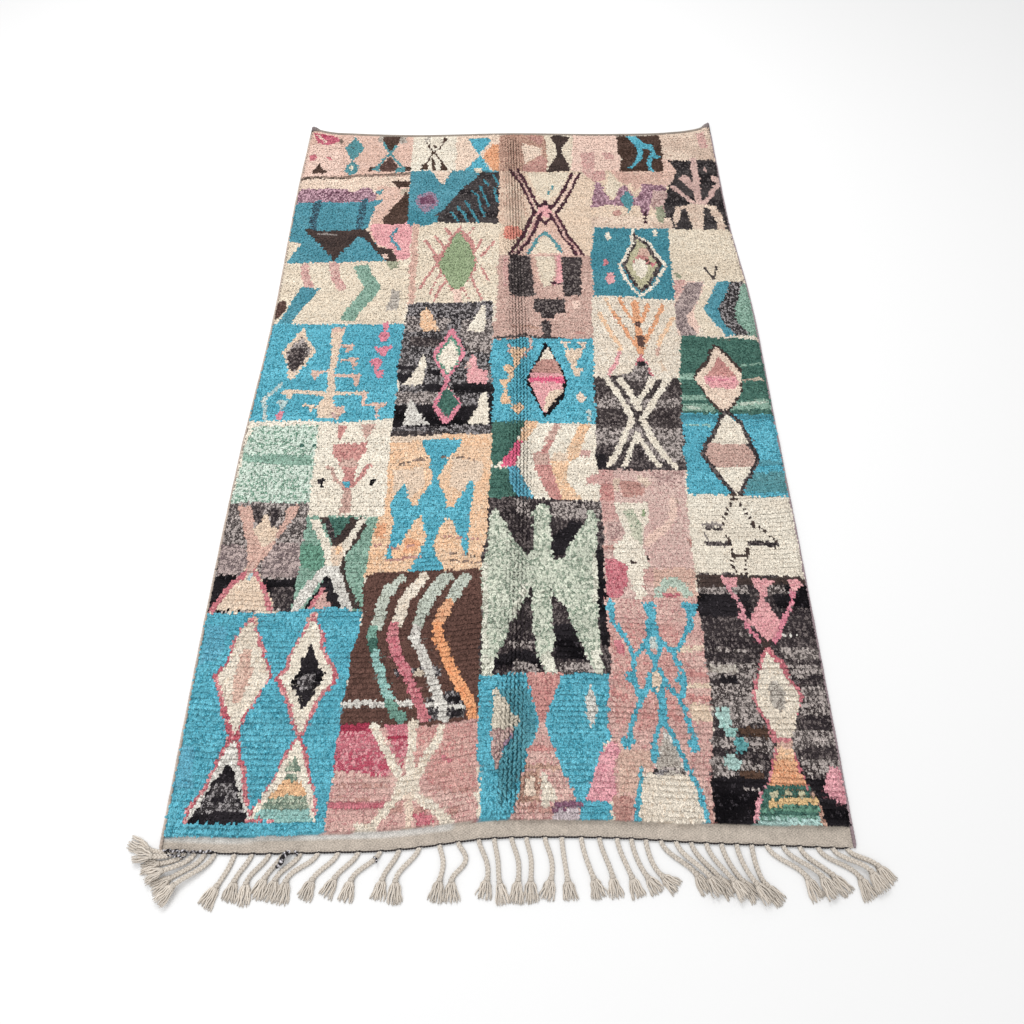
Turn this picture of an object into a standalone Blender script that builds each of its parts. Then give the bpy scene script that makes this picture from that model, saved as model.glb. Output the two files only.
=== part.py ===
"""Hand-knotted wool rug lying flat, with plaited warp cords and tassels along its near end.

Units are metres, +Z is up and the floor is z = 0. The plan is laid out from the middle of the near edge,
with x across the rug and y along it, and PLAN_MIDDLE of that plan is the origin. The fringe faces -Y.
"""

from collections import namedtuple

import bmesh
import bpy
import numpy as np

PLAN_MIDDLE = (-0.02, 1.21)
GAP = 0.0003
MILLIMETRE = 0.001

# The cloth: one piece, woven and knotted together.
HALF_WIDTH = 0.75
LENGTH = 2.475
WEAVE_THICKNESS = 0.0035
PILE_TOP = 0.016
PILE_STEP = 0.006
RIM_HEIGHT = 0.0065
RIM_SLOPE = 0.014
ROLLED_HEM_HEIGHT = 0.012
ROLLED_HEM_WIDTH = 0.015
UNEVENNESS = 0.0009
EVEN_MARGIN = 0.1
WAVE_ACROSS = 7.3
WAVE_ALONG = 4.1
FIELD_ROWS = 27
FIELD_COLUMNS = 7
CREASE_COLUMNS = 7

# The fold line down the middle, where the cloth stands off the floor in a low ridge.
CREASE_LIFT = 0.0055
CREASE_REACH = 0.062
CREASE_FADE = 0.03

# Side cords, twining and the strip of gathered warps under it.
SELVEDGE_RADIUS = 0.0035
EAR_REACH = 0.012
TWINE_RADIUS = 0.0019
TWINE_PITCH = 0.0125
TWINE_HUMP = 0.0018
STRIP_DEPTH = 0.0042
STRIP_HEIGHT = 0.0014

# One plaited warp cord and its tassel.
ROOT_WIDTH = 0.0065
CORD_WIDTH = 0.0085
CORD_HEIGHT = 0.0065
CORD_STEPS = 7
HEAD_WIDTH = 0.0110
HEAD_HEIGHT = 0.0088
NECK = 0.005
LOCKS = 4
TASSEL_SHOULDER = 0.0150
TASSEL_HEIGHT = 0.0080
TIP_SPREAD = 0.0225
STACK_LIFT = 0.0104

# Distance of each outline from its straight line, by place along it.
Offset = namedtuple("Offset", "along out")
LEFT_SIDE = (
    Offset(0.00, 0.005),
    Offset(0.24, 0.014),
    Offset(0.40, 0.014),
    Offset(0.60, 0.001),
    Offset(0.85, 0.009),
    Offset(1.00, 0.005),
)
RIGHT_SIDE = (
    Offset(0.00, -0.021),
    Offset(0.20, -0.005),
    Offset(0.44, 0.010),
    Offset(0.65, 0.019),
    Offset(0.77, 0.006),
    Offset(0.93, 0.010),
    Offset(1.00, 0.013),
)
CREASE_LINE = (
    Offset(0.00, -0.010),
    Offset(0.12, 0.002),
    Offset(0.50, 0.026),
    Offset(0.75, 0.020),
    Offset(1.00, 0.010),
)
NEAR_END = (
    Offset(-0.75, -0.0100),
    Offset(-0.60, -0.0145),
    Offset(-0.40, -0.0120),
    Offset(-0.25, -0.0070),
    Offset(-0.17, 0.0020),
    Offset(-0.08, 0.0135),
    Offset(0.10, 0.0185),
    Offset(0.22, 0.0165),
    Offset(0.40, 0.0070),
    Offset(0.60, 0.0005),
    Offset(0.73, -0.0050),
)
FAR_END = (
    Offset(-0.755, 0.035),
    Offset(-0.720, 0.019),
    Offset(-0.670, 0.005),
    Offset(-0.600, -0.001),
    Offset(-0.400, -0.011),
    Offset(0.000, 0.000),
    Offset(0.400, -0.004),
    Offset(0.600, 0.005),
    Offset(0.680, 0.018),
    Offset(0.735, 0.038),
    Offset(0.763, 0.060),
)
HEADING_WIDTH = (
    Offset(-0.75, 0.026),
    Offset(-0.20, 0.035),
    Offset(0.10, 0.031),
    Offset(0.45, 0.035),
    Offset(0.73, 0.041),
)

# Cords lie in bunches, given here in millimetres: even roots from first to last, and the same for their heads
# and tips. bow pushes a cord's middle to the right, and in a stacked bunch every second cord lies on its
# neighbours.
Bunch = namedtuple("Bunch", "cords first_root last_root first_head last_head first_tip last_tip bow stacked")
BUNCHES = (
    Bunch(6, -745, -640, (-781, -9), (-708, -74), (-829, 6), (-742, -109), 0, True),
    Bunch(1, -598, -598, (-622, -74), (-622, -74), (-646, -116), (-646, -116), 0, False),
    Bunch(2, -560, -523, (-588, -64), (-563, -68), (-597, -107), (-566, -115), 0, False),
    Bunch(3, -494, -419, (-524, -58), (-480, -64), (-541, -102), (-488, -112), 0, False),
    Bunch(1, -376, -376, (-424, -62), (-424, -62), (-440, -104), (-440, -104), 0, False),
    Bunch(2, -333, -286, (-376, -58), (-342, -62), (-396, -98), (-354, -107), 0, False),
    Bunch(2, -246, -203, (-277, -61), (-250, -64), (-285, -104), (-249, -111), 0, False),
    Bunch(1, -161, -161, (-156, -62), (-156, -62), (-165, -108), (-165, -108), 6, False),
    Bunch(1, -122, -122, (-132, -63), (-132, -63), (-131, -109), (-131, -109), 24, False),
    Bunch(2, -77, -43, (-56, -61), (-32, -66), (-65, -102), (-22, -112), 4, False),
    Bunch(2, -6, 26, (9, -62), (35, -62), (4, -110), (34, -110), 5, False),
    Bunch(1, 66, 66, (79, -60), (79, -60), (67, -103), (67, -103), 4, False),
    Bunch(1, 103, 103, (112, -62), (112, -62), (117, -105), (117, -105), 0, False),
    Bunch(2, 145, 184, (166, -59), (207, -56), (181, -101), (214, -101), 0, False),
    Bunch(3, 222, 284, (247, -57), (310, -57), (262, -99), (344, -83), 0, False),
    Bunch(7, 316, 511, (383, -52), (527, -73), (408, -90), (558, -110), 0, True),
    Bunch(3, 543, 613, (616, -58), (670, -54), (636, -104), (702, -93), 0, True),
    Bunch(3, 652, 714, (728, -58), (770, -36), (746, -103), (797, -75), 0, True),
)

COLOURS = {
    "rug_cloth": (0.35, 0.29, 0.27, 1.0),
    "selvedge": (0.32, 0.28, 0.28, 1.0),
    "twined_edge": (0.035, 0.03, 0.032, 1.0),
    "near_fringe": (0.56, 0.47, 0.38, 1.0),
}


def clear_scene():
    """Remove every object, so that the scene holds only the rug."""
    for obj in list(bpy.data.objects):
        bpy.data.objects.remove(obj, do_unlink=True)


def wool(name, colour):
    """A rough wool material."""
    material = bpy.data.materials.new(name)
    material.use_nodes = True
    shader = material.node_tree.nodes["Principled BSDF"]
    shader.inputs["Base Color"].default_value = colour
    shader.inputs["Roughness"].default_value = 0.95
    shader.inputs["Metallic"].default_value = 0.0
    return material


def smooth_line(table, at):
    """Offsets on the smooth curve through a table's rows: cubics with the slopes of the rows around."""
    along, out = np.array(table, float).T
    slopes = np.gradient(out, along)
    at = np.clip(at, along[0], along[-1])
    low = np.clip(np.searchsorted(along, at) - 1, 0, len(along) - 2)
    span = along[low + 1] - along[low]
    t = (at - along[low]) / span
    start = (1 + 2 * t) * (1 - t) ** 2 * out[low] + t * (1 - t) ** 2 * span * slopes[low]
    end = t * t * (3 - 2 * t) * out[low + 1] - t * t * (1 - t) * span * slopes[low + 1]
    return start + end


def ease(value, start, end):
    """0 before start, 1 after end, and an S-curve between."""
    t = np.clip((value - start) / (end - start), 0.0, 1.0)
    return t * t * (3 - 2 * t)


def near_edge(x):
    """The near edge's place along the rug at x across it."""
    return smooth_line(NEAR_END, x)


def far_edge(x):
    """The far edge's place along the rug at x across it."""
    return LENGTH + smooth_line(FAR_END, x)


def cloth_plan(across, along):
    """Plan point at shares of the width and the length: the sides, the ends and the crease bound the grid."""
    left = -HALF_WIDTH - smooth_line(LEFT_SIDE, along)
    right = HALF_WIDTH + smooth_line(RIGHT_SIDE, along)
    bend = smooth_line(CREASE_LINE, along) - (left + right) / 2
    x = left + (right - left) * across + 4 * across * (1 - across) * bend
    near, far = near_edge(x), far_edge(x)
    return x, near + (far - near) * along


def cloth_heights(x, y, along):
    """Underside and top of the cloth: flat weave, pile field, rolled far hem and lifted crease."""
    from_side = np.minimum(
        x + HALF_WIDTH + smooth_line(LEFT_SIDE, along),
        HALF_WIDTH + smooth_line(RIGHT_SIDE, along) - x,
    )
    from_near = y - near_edge(x) - smooth_line(HEADING_WIDTH, x)
    from_far = far_edge(x) - y
    pile = RIM_HEIGHT + (PILE_TOP - RIM_HEIGHT) * ease(from_side, 0.0, RIM_SLOPE)
    waves = np.sin(WAVE_ACROSS * x + 1.9 * y) * np.sin(WAVE_ALONG * y - 2.7 * x)
    pile += UNEVENNESS * waves * ease(from_side, 0.0, EVEN_MARGIN)
    top = WEAVE_THICKNESS + (pile - WEAVE_THICKNESS) * ease(from_near, -0.001, PILE_STEP)
    hem = RIM_HEIGHT + (ROLLED_HEM_HEIGHT - RIM_HEIGHT) * ease(from_far, 0.0, 0.4 * ROLLED_HEM_WIDTH)
    top = hem + (top - hem) * ease(from_far, 0.7 * ROLLED_HEM_WIDTH, ROLLED_HEM_WIDTH + PILE_STEP)
    from_crease = np.abs(x - smooth_line(CREASE_LINE, along)) / CREASE_REACH
    fade = ease(along, 0.2 * CREASE_FADE, CREASE_FADE) * ease(1 - along, 0.0, CREASE_FADE)
    lift = CREASE_LIFT * fade * np.cos(np.pi / 2 * np.clip(from_crease, 0.0, 1.0)) ** 2
    return lift, top + lift


def cloth_rows():
    """Shares of the length where the cloth's grid has a row: close at the heading and the rolled hem."""
    near = np.array([0.0, 0.010, 0.022, 0.031, 0.037, 0.043, 0.053])
    hem = ROLLED_HEM_WIDTH
    far = np.array([hem + 2 * PILE_STEP, hem + PILE_STEP, hem, 0.7 * hem, 0.4 * hem, 0.0])
    field = np.linspace(near[-1], LENGTH - far[0], FIELD_ROWS)[1:-1]
    return np.concatenate([near, field, LENGTH - far]) / LENGTH


def cloth_columns():
    """Shares of the width where the cloth's grid has a column: close at the rims and over the crease."""
    width = 2 * HALF_WIDTH
    rim = np.array([0.0, 0.3, 0.65, 1.0, 3.5]) * RIM_SLOPE / width
    crease = 0.5 + np.linspace(-1.0, 1.0, CREASE_COLUMNS) * CREASE_REACH / width
    field = np.linspace(rim[-1], crease[0], FIELD_COLUMNS)[1:-1]
    half = np.concatenate([rim, field])
    return np.concatenate([half, crease, 1 - half[::-1]])


def grid_faces(rows, columns, first, turned):
    """Quads of a grid of points, numbered from first row by row."""
    faces = []
    for row in range(rows - 1):
        for column in range(columns - 1):
            a = first + row * columns + column
            quad = (a, a + 1, a + columns + 1, a + columns)
            faces.append(quad[::-1] if turned else quad)
    return faces


def make_cloth():
    """The cloth as a top grid and a bottom grid joined by a wall round the rim."""
    across, along = np.meshgrid(cloth_columns(), cloth_rows())
    x, y = cloth_plan(across, along)
    low, high = cloth_heights(x, y, along)
    rows, columns = x.shape
    count = rows * columns
    points = [np.stack([x, y, z], axis=-1).reshape(-1, 3) for z in (high, low)]
    faces = grid_faces(rows, columns, 0, False) + grid_faces(rows, columns, count, True)
    index = np.arange(count).reshape(rows, columns)
    rim = np.concatenate([index[0], index[1:, -1], index[-1, -2::-1], index[-2:0:-1, 0]]).tolist()
    for here, there in zip(rim, rim[1:] + rim[:1]):
        faces.append((there, here, here + count, there + count))
    return mesh_object("rug_cloth", np.concatenate(points), faces, COLOURS["rug_cloth"])


def mesh_object(name, points, faces, colour):
    """A mesh object from plan points, moved so that PLAN_MIDDLE is the origin."""
    moved = np.asarray(points, float) - np.array([*PLAN_MIDDLE, 0.0])
    mesh = bpy.data.meshes.new(name)
    mesh.from_pydata(moved.tolist(), [], faces)
    return finished(name, mesh, colour)


def finished(name, mesh, colour):
    """Link a mesh as an object with its material, its faces outwards and its round sides smooth."""
    bm = bmesh.new()
    bm.from_mesh(mesh)
    bmesh.ops.recalc_face_normals(bm, faces=bm.faces)
    bm.to_mesh(mesh)
    bm.free()
    mesh.shade_smooth()
    mesh.set_sharp_from_angle(angle=np.radians(50))
    mesh.materials.append(wool(name + "_wool", colour))
    obj = bpy.data.objects.new(name, mesh)
    bpy.context.collection.objects.link(obj)
    return obj


def tube_faces(stations, sides):
    """Faces of a closed tube of numbered rings, with a flat cap at each end."""
    faces = [tuple(range(sides)), tuple(range((stations - 1) * sides, stations * sides))]
    for station in range(stations - 1):
        for side in range(sides):
            a = station * sides + side
            b = station * sides + (side + 1) % sides
            faces.append((a, b, b + sides, a + sides))
    return faces


def make_selvedge(name, side, sideways):
    """An overcast side cord: a six-sided tube along the cloth's edge, drawn to a point at the far corner."""
    along = cloth_rows()
    x, y = cloth_plan(np.full(len(along), side), along)
    x = x + sideways * (GAP + SELVEDGE_RADIUS)
    radius = SELVEDGE_RADIUS * np.ones(len(along))
    radius[0] = 0.6 * SELVEDGE_RADIUS
    x = np.append(x, x[-1] + sideways * 0.3 * EAR_REACH)
    y = np.append(y, y[-1] + EAR_REACH)
    radius = np.append(radius, 0.3 * SELVEDGE_RADIUS)
    angles = np.radians(30 + 60 * np.arange(6))
    ring_x = x[:, None] + radius[:, None] * np.cos(angles)
    ring_y = np.repeat(y[:, None], 6, axis=1)
    ring_z = radius[:, None] * (1 + np.sin(angles))
    points = np.stack([ring_x, ring_y, ring_z], axis=-1).reshape(-1, 3)
    return mesh_object(name, points, tube_faces(len(x), 6), COLOURS["selvedge"])


def root_places():
    """The x of every cord's root, from left to right."""
    rows = [np.linspace(bunch.first_root, bunch.last_root, bunch.cords) for bunch in BUNCHES]
    return np.concatenate(rows) * MILLIMETRE


def near_corners():
    """Plan x and y of the points where the cloth's faceted near edge turns."""
    across = cloth_columns()
    return cloth_plan(across, np.zeros(len(across)))


def near_face(x):
    """The near edge's place at x, straight between the cloth's points as its faces are."""
    return np.interp(x, *near_corners())


def make_twine():
    """The dark twined cord: a four-sided section that turns as it goes, and humps over each cord's root."""
    roots = root_places()
    x = np.arange(roots[0] - 0.006, roots[-1] + 0.008, TWINE_PITCH / 2)
    nearest = np.abs(x[:, None] - roots).min(axis=1)
    hump = TWINE_HUMP * (1 - ease(nearest, 0.2 * ROOT_WIDTH, 1.3 * ROOT_WIDTH))
    y = near_face(x) - GAP - 1.05 * TWINE_RADIUS - 0.5 * hump
    z = STRIP_HEIGHT + GAP + TWINE_RADIUS + hump
    turn = 2 * np.pi * np.arange(len(x))[:, None] / 8 + np.pi / 2 * np.arange(4)
    points = np.stack(
        [
            np.repeat(x[:, None], 4, axis=1),
            y[:, None] + TWINE_RADIUS * np.cos(turn),
            z[:, None] + TWINE_RADIUS * np.sin(turn),
        ],
        axis=-1,
    ).reshape(-1, 3)
    return mesh_object("twined_edge", points, tube_faces(len(x), 4), COLOURS["twined_edge"])


class Strand:
    """One plaited cord of the fringe, from the strip to the cut ends of its tassel."""

    def __init__(self, root, head, tip, bow, lift, noise):
        """Keep the places in plan and the lift of the head where it lies on its neighbours."""
        self.root = np.array([root, near_face(root) - GAP - STRIP_DEPTH])
        self.head = np.array(head)
        self.tip = np.array(tip)
        self.bow = bow
        self.lift = lift
        self.noise = noise

    def sections(self):
        """Centre, direction, width, height and lift of each ring from the root to the tassel's shoulder."""
        reach = np.linalg.norm(self.head - self.root)
        onward = (self.tip - self.head) / np.linalg.norm(self.tip - self.head)
        leave, arrive = np.array([0.0, -1.0]) * reach, onward * 0.9 * reach
        found = []
        for step in range(1, CORD_STEPS + 1):
            t = step / CORD_STEPS
            place = (1 + 2 * t) * (1 - t) ** 2 * self.root + t * (1 - t) ** 2 * leave
            place = place + t * t * (3 - 2 * t) * self.head - t * t * (1 - t) * arrive
            slope = 6 * t * (1 - t) * (self.head - self.root)
            slope = slope + (1 - t) * (1 - 3 * t) * leave + t * (3 * t - 2) * arrive
            place = place + np.array([self.bow * np.sin(np.pi * t) ** 2, 0.0])
            slope = slope + np.array([self.bow * np.pi * np.sin(2 * np.pi * t), 0.0])
            ahead = slope / np.linalg.norm(slope)
            found.append((place, ahead, CORD_WIDTH, CORD_HEIGHT, self.lift * ease(t, 0, 1)))
        bulge = self.head + 0.5 * NECK * onward
        found.append((bulge, onward, HEAD_WIDTH, HEAD_HEIGHT, self.lift))
        found.append((self.head + NECK * onward, onward, CORD_WIDTH, CORD_HEIGHT, self.lift))
        return found, onward

    def build(self, bm, first):
        """Grow the cord from its first ring of four points, then split it into the tassel's locks."""
        rings, onward = self.sections()
        ring = first
        for place, ahead, width, height, lift in rings:
            ring = self.next_ring(bm, ring, place, ahead, width, height, lift)
        sideways = np.array([-onward[1], onward[0]])
        shoulder = self.head + 2.4 * NECK * onward
        shares = np.linspace(-0.5, 0.5, LOCKS + 1)
        across = sideways * TASSEL_SHOULDER
        low = [self.point(bm, shoulder + across * s, self.lift) for s in shares]
        high = [self.point(bm, shoulder + 0.85 * across * s, self.lift + TASSEL_HEIGHT) for s in shares]
        bm.faces.new([ring[0], ring[1], *low[::-1]])
        bm.faces.new([ring[2], ring[3], *high])
        bm.faces.new([ring[3], ring[0], low[0], high[0]])
        bm.faces.new([ring[1], ring[2], high[-1], low[-1]])
        length = np.linalg.norm(self.tip - shoulder)
        for lock in range(LOCKS):
            cell = [low[lock], low[lock + 1], high[lock + 1], high[lock]]
            share = (shares[lock] + shares[lock + 1]) / 2
            cut = 1 - 0.25 * share**2 + self.noise.uniform(-0.08, 0.04)
            self.build_lock(bm, cell, shoulder, onward, share, length * cut)

    def build_lock(self, bm, cell, shoulder, onward, share, length):
        """One lock of the tassel: it swells at its middle, fans out and thins to a cut end."""
        sideways = np.array([-onward[1], onward[0]])
        pitch = TIP_SPREAD / LOCKS
        for reach, spread, width, height, lift in (
            (0.5, 0.88, 0.86 * pitch, 0.95 * TASSEL_HEIGHT, 0.97),
            (1.0, 1.0, 0.70 * pitch, 0.50 * TASSEL_HEIGHT, 0.92),
        ):
            place = shoulder + onward * length * reach + sideways * share * TIP_SPREAD * spread
            cell = self.next_ring(bm, cell, place, onward, width, height, self.lift * lift)
        bm.faces.new(cell)

    def next_ring(self, bm, ring, place, ahead, width, height, lift):
        """Add a ring of four points, narrower at the top, and the four faces back to the last ring."""
        sideways = np.array([-ahead[1], ahead[0]]) * width / 2
        new = [
            self.point(bm, place - sideways, lift),
            self.point(bm, place + sideways, lift),
            self.point(bm, place + 0.66 * sideways, lift + height),
            self.point(bm, place - 0.66 * sideways, lift + height),
        ]
        for side in range(4):
            after = (side + 1) % 4
            bm.faces.new([ring[side], ring[after], new[after], new[side]])
        return new

    def point(self, bm, place, z):
        """A new mesh point at a plan place and height."""
        return bm.verts.new((place[0] - PLAN_MIDDLE[0], place[1] - PLAN_MIDDLE[1], z))


def between(first, last, share):
    """A place or number in millimetres at a share of the way from first to last, in metres."""
    return ((1 - share) * np.array(first, float) + share * np.array(last, float)) * MILLIMETRE


def strands():
    """Every cord of the fringe, from left to right."""
    noise = np.random.default_rng(11)
    found = []
    for bunch in BUNCHES:
        for number, share in enumerate(np.linspace(0, 1, bunch.cords)):
            root = between(bunch.first_root, bunch.last_root, share)
            head = between(bunch.first_head, bunch.last_head, share)
            tip = between(bunch.first_tip, bunch.last_tip, share)
            lift = STACK_LIFT if bunch.stacked and number % 2 else 0.0
            found.append(Strand(root, head, tip, bunch.bow * MILLIMETRE, lift, noise))
    return found


def strip_stops(fringe):
    """The x of each ring of the strip, with the strand that the next span opens into, or None."""
    corners = near_corners()[0]
    stops = [(fringe[0].root[0] - ROOT_WIDTH, None)]
    for strand in fringe:
        left, right = strand.root[0] - ROOT_WIDTH / 2, strand.root[0] + ROOT_WIDTH / 2
        turns = corners[(corners > stops[-1][0] + GAP) & (corners < left - GAP)]
        stops += [(x, None) for x in turns] + [(left, strand), (right, None)]
    stops.append((fringe[-1].root[0] + ROOT_WIDTH, None))
    return stops


def make_fringe():
    """The strip of gathered warps, whose front face opens into one cord at each root."""
    bm = bmesh.new()
    stops = strip_stops(strands())
    back, front = GAP, GAP + STRIP_DEPTH
    section = ((back, 0.0), (front, 0.0), (front, STRIP_HEIGHT), (back, STRIP_HEIGHT))
    rings = []
    for x, _ in stops:
        edge = near_face(x) - PLAN_MIDDLE[1]
        rings.append([bm.verts.new((x - PLAN_MIDDLE[0], edge - depth, z)) for depth, z in section])
    bm.faces.new(rings[0])
    bm.faces.new(rings[-1])
    for (_, strand), here, there in zip(stops, rings, rings[1:]):
        for side in range(4):
            after = (side + 1) % 4
            if strand is None or side != 1:
                bm.faces.new([here[side], here[after], there[after], there[side]])
        if strand is not None:
            strand.build(bm, [here[1], there[1], there[2], here[2]])
    mesh = bpy.data.meshes.new("near_fringe")
    bm.to_mesh(mesh)
    bm.free()
    return finished("near_fringe", mesh, COLOURS["near_fringe"])


def main():
    """Build the rug, its pieces parented to one empty."""
    clear_scene()
    pieces = [
        make_cloth(),
        make_selvedge("selvedge_left", 0.0, -1),
        make_selvedge("selvedge_right", 1.0, 1),
        make_twine(),
        make_fringe(),
    ]
    rug = bpy.data.objects.new("rug", None)
    bpy.context.collection.objects.link(rug)
    for piece in pieces:
        piece.parent = rug


main()
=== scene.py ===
"""Hand-knotted wool rug in patches of bright ornament, dressed round its fixed frame.

Lengths are metres, unless a name says centimetres. The plan is laid out from the middle of the near edge, x
across the rug and y along it, and Cloth.to_row moves it into the frame, where the rug's middle is the origin.
"""

import logging
from dataclasses import dataclass
from enum import Enum
from itertools import chain

import bpy
import numpy as np
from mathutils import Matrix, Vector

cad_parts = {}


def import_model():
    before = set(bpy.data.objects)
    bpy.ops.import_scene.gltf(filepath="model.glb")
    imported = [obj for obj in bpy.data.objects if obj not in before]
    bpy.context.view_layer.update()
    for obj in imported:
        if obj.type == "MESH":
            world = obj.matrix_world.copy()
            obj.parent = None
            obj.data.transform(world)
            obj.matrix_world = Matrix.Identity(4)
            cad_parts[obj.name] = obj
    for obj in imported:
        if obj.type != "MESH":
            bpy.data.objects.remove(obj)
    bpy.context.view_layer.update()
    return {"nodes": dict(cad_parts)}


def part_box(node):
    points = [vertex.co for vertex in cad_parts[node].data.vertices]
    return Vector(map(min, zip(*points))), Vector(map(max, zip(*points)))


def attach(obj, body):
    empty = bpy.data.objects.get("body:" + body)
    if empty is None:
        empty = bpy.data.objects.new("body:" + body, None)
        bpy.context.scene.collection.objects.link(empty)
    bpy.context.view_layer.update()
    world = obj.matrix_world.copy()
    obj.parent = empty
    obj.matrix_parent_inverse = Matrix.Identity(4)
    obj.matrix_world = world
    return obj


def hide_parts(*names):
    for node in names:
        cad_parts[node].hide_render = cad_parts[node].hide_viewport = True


LOG = logging.getLogger("rug")
Array = np.ndarray
Table = tuple[tuple[float, float], ...]
Colour = tuple[float, float, float]
BODY = "root"
MILLIMETRE = 0.001


def ease(value: Array, start: float, end: float) -> Array:
    """S-curve between two limits: 3t² - 2t³ of the clipped share t.

    Args:
        value: Numbers to ease.
        start: Where the curve leaves 0.
        end: Where it reaches 1.

    Returns:
        Shares from 0 to 1.
    """
    t = np.clip((value - start) / (end - start), 0.0, 1.0)
    return t * t * (3 - 2 * t)


def smooth_line(table: Table, at: Array) -> Array:
    """Smooth curve through a table's rows: cubics whose slopes are those of the rows around.

    Args:
        table: Rows of a place and the offset there.
        at: Places to read the curve at, held inside the table.

    Returns:
        The offsets.
    """
    along, out = np.array(table, float).T
    slopes = np.gradient(out, along)
    at = np.clip(at, along[0], along[-1])
    low = np.clip(np.searchsorted(along, at) - 1, 0, len(along) - 2)
    span = along[low + 1] - along[low]
    t = (at - along[low]) / span
    start = (1 + 2 * t) * (1 - t) ** 2 * out[low] + t * (1 - t) ** 2 * span * slopes[low]
    end = t * t * (3 - 2 * t) * out[low + 1] - t * t * (1 - t) * span * slopes[low + 1]
    return start + end


def drift(x: Array, y: Array, across: float, along: float, seed: int) -> Array:
    """Slow random field: lattice values blended by S-curves between the corners of each cell.

    Args:
        x: Plan places across.
        y: Plan places along.
        across: Width of a cell.
        along: Length of a cell.
        seed: Which field.

    Returns:
        Numbers from -1 to 1.
    """
    lattice = np.random.default_rng(seed).uniform(-1.0, 1.0, (64, 64))
    u, v = np.asarray(x) / across, np.asarray(y) / along
    i, j = np.floor(u).astype(int), np.floor(v).astype(int)
    s, t = ease(u - i, 0.0, 1.0), ease(v - j, 0.0, 1.0)
    low = lattice[i % 64, j % 64] * (1 - s) + lattice[(i + 1) % 64, j % 64] * s
    high = lattice[i % 64, (j + 1) % 64] * (1 - s) + lattice[(i + 1) % 64, (j + 1) % 64] * s
    return low * (1 - t) + high * t


def leftward(ahead: Array) -> Array:
    """Plan directions turned a quarter to the left: (-y, x)."""
    return np.stack([-ahead[..., 1], ahead[..., 0]], -1)


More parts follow.
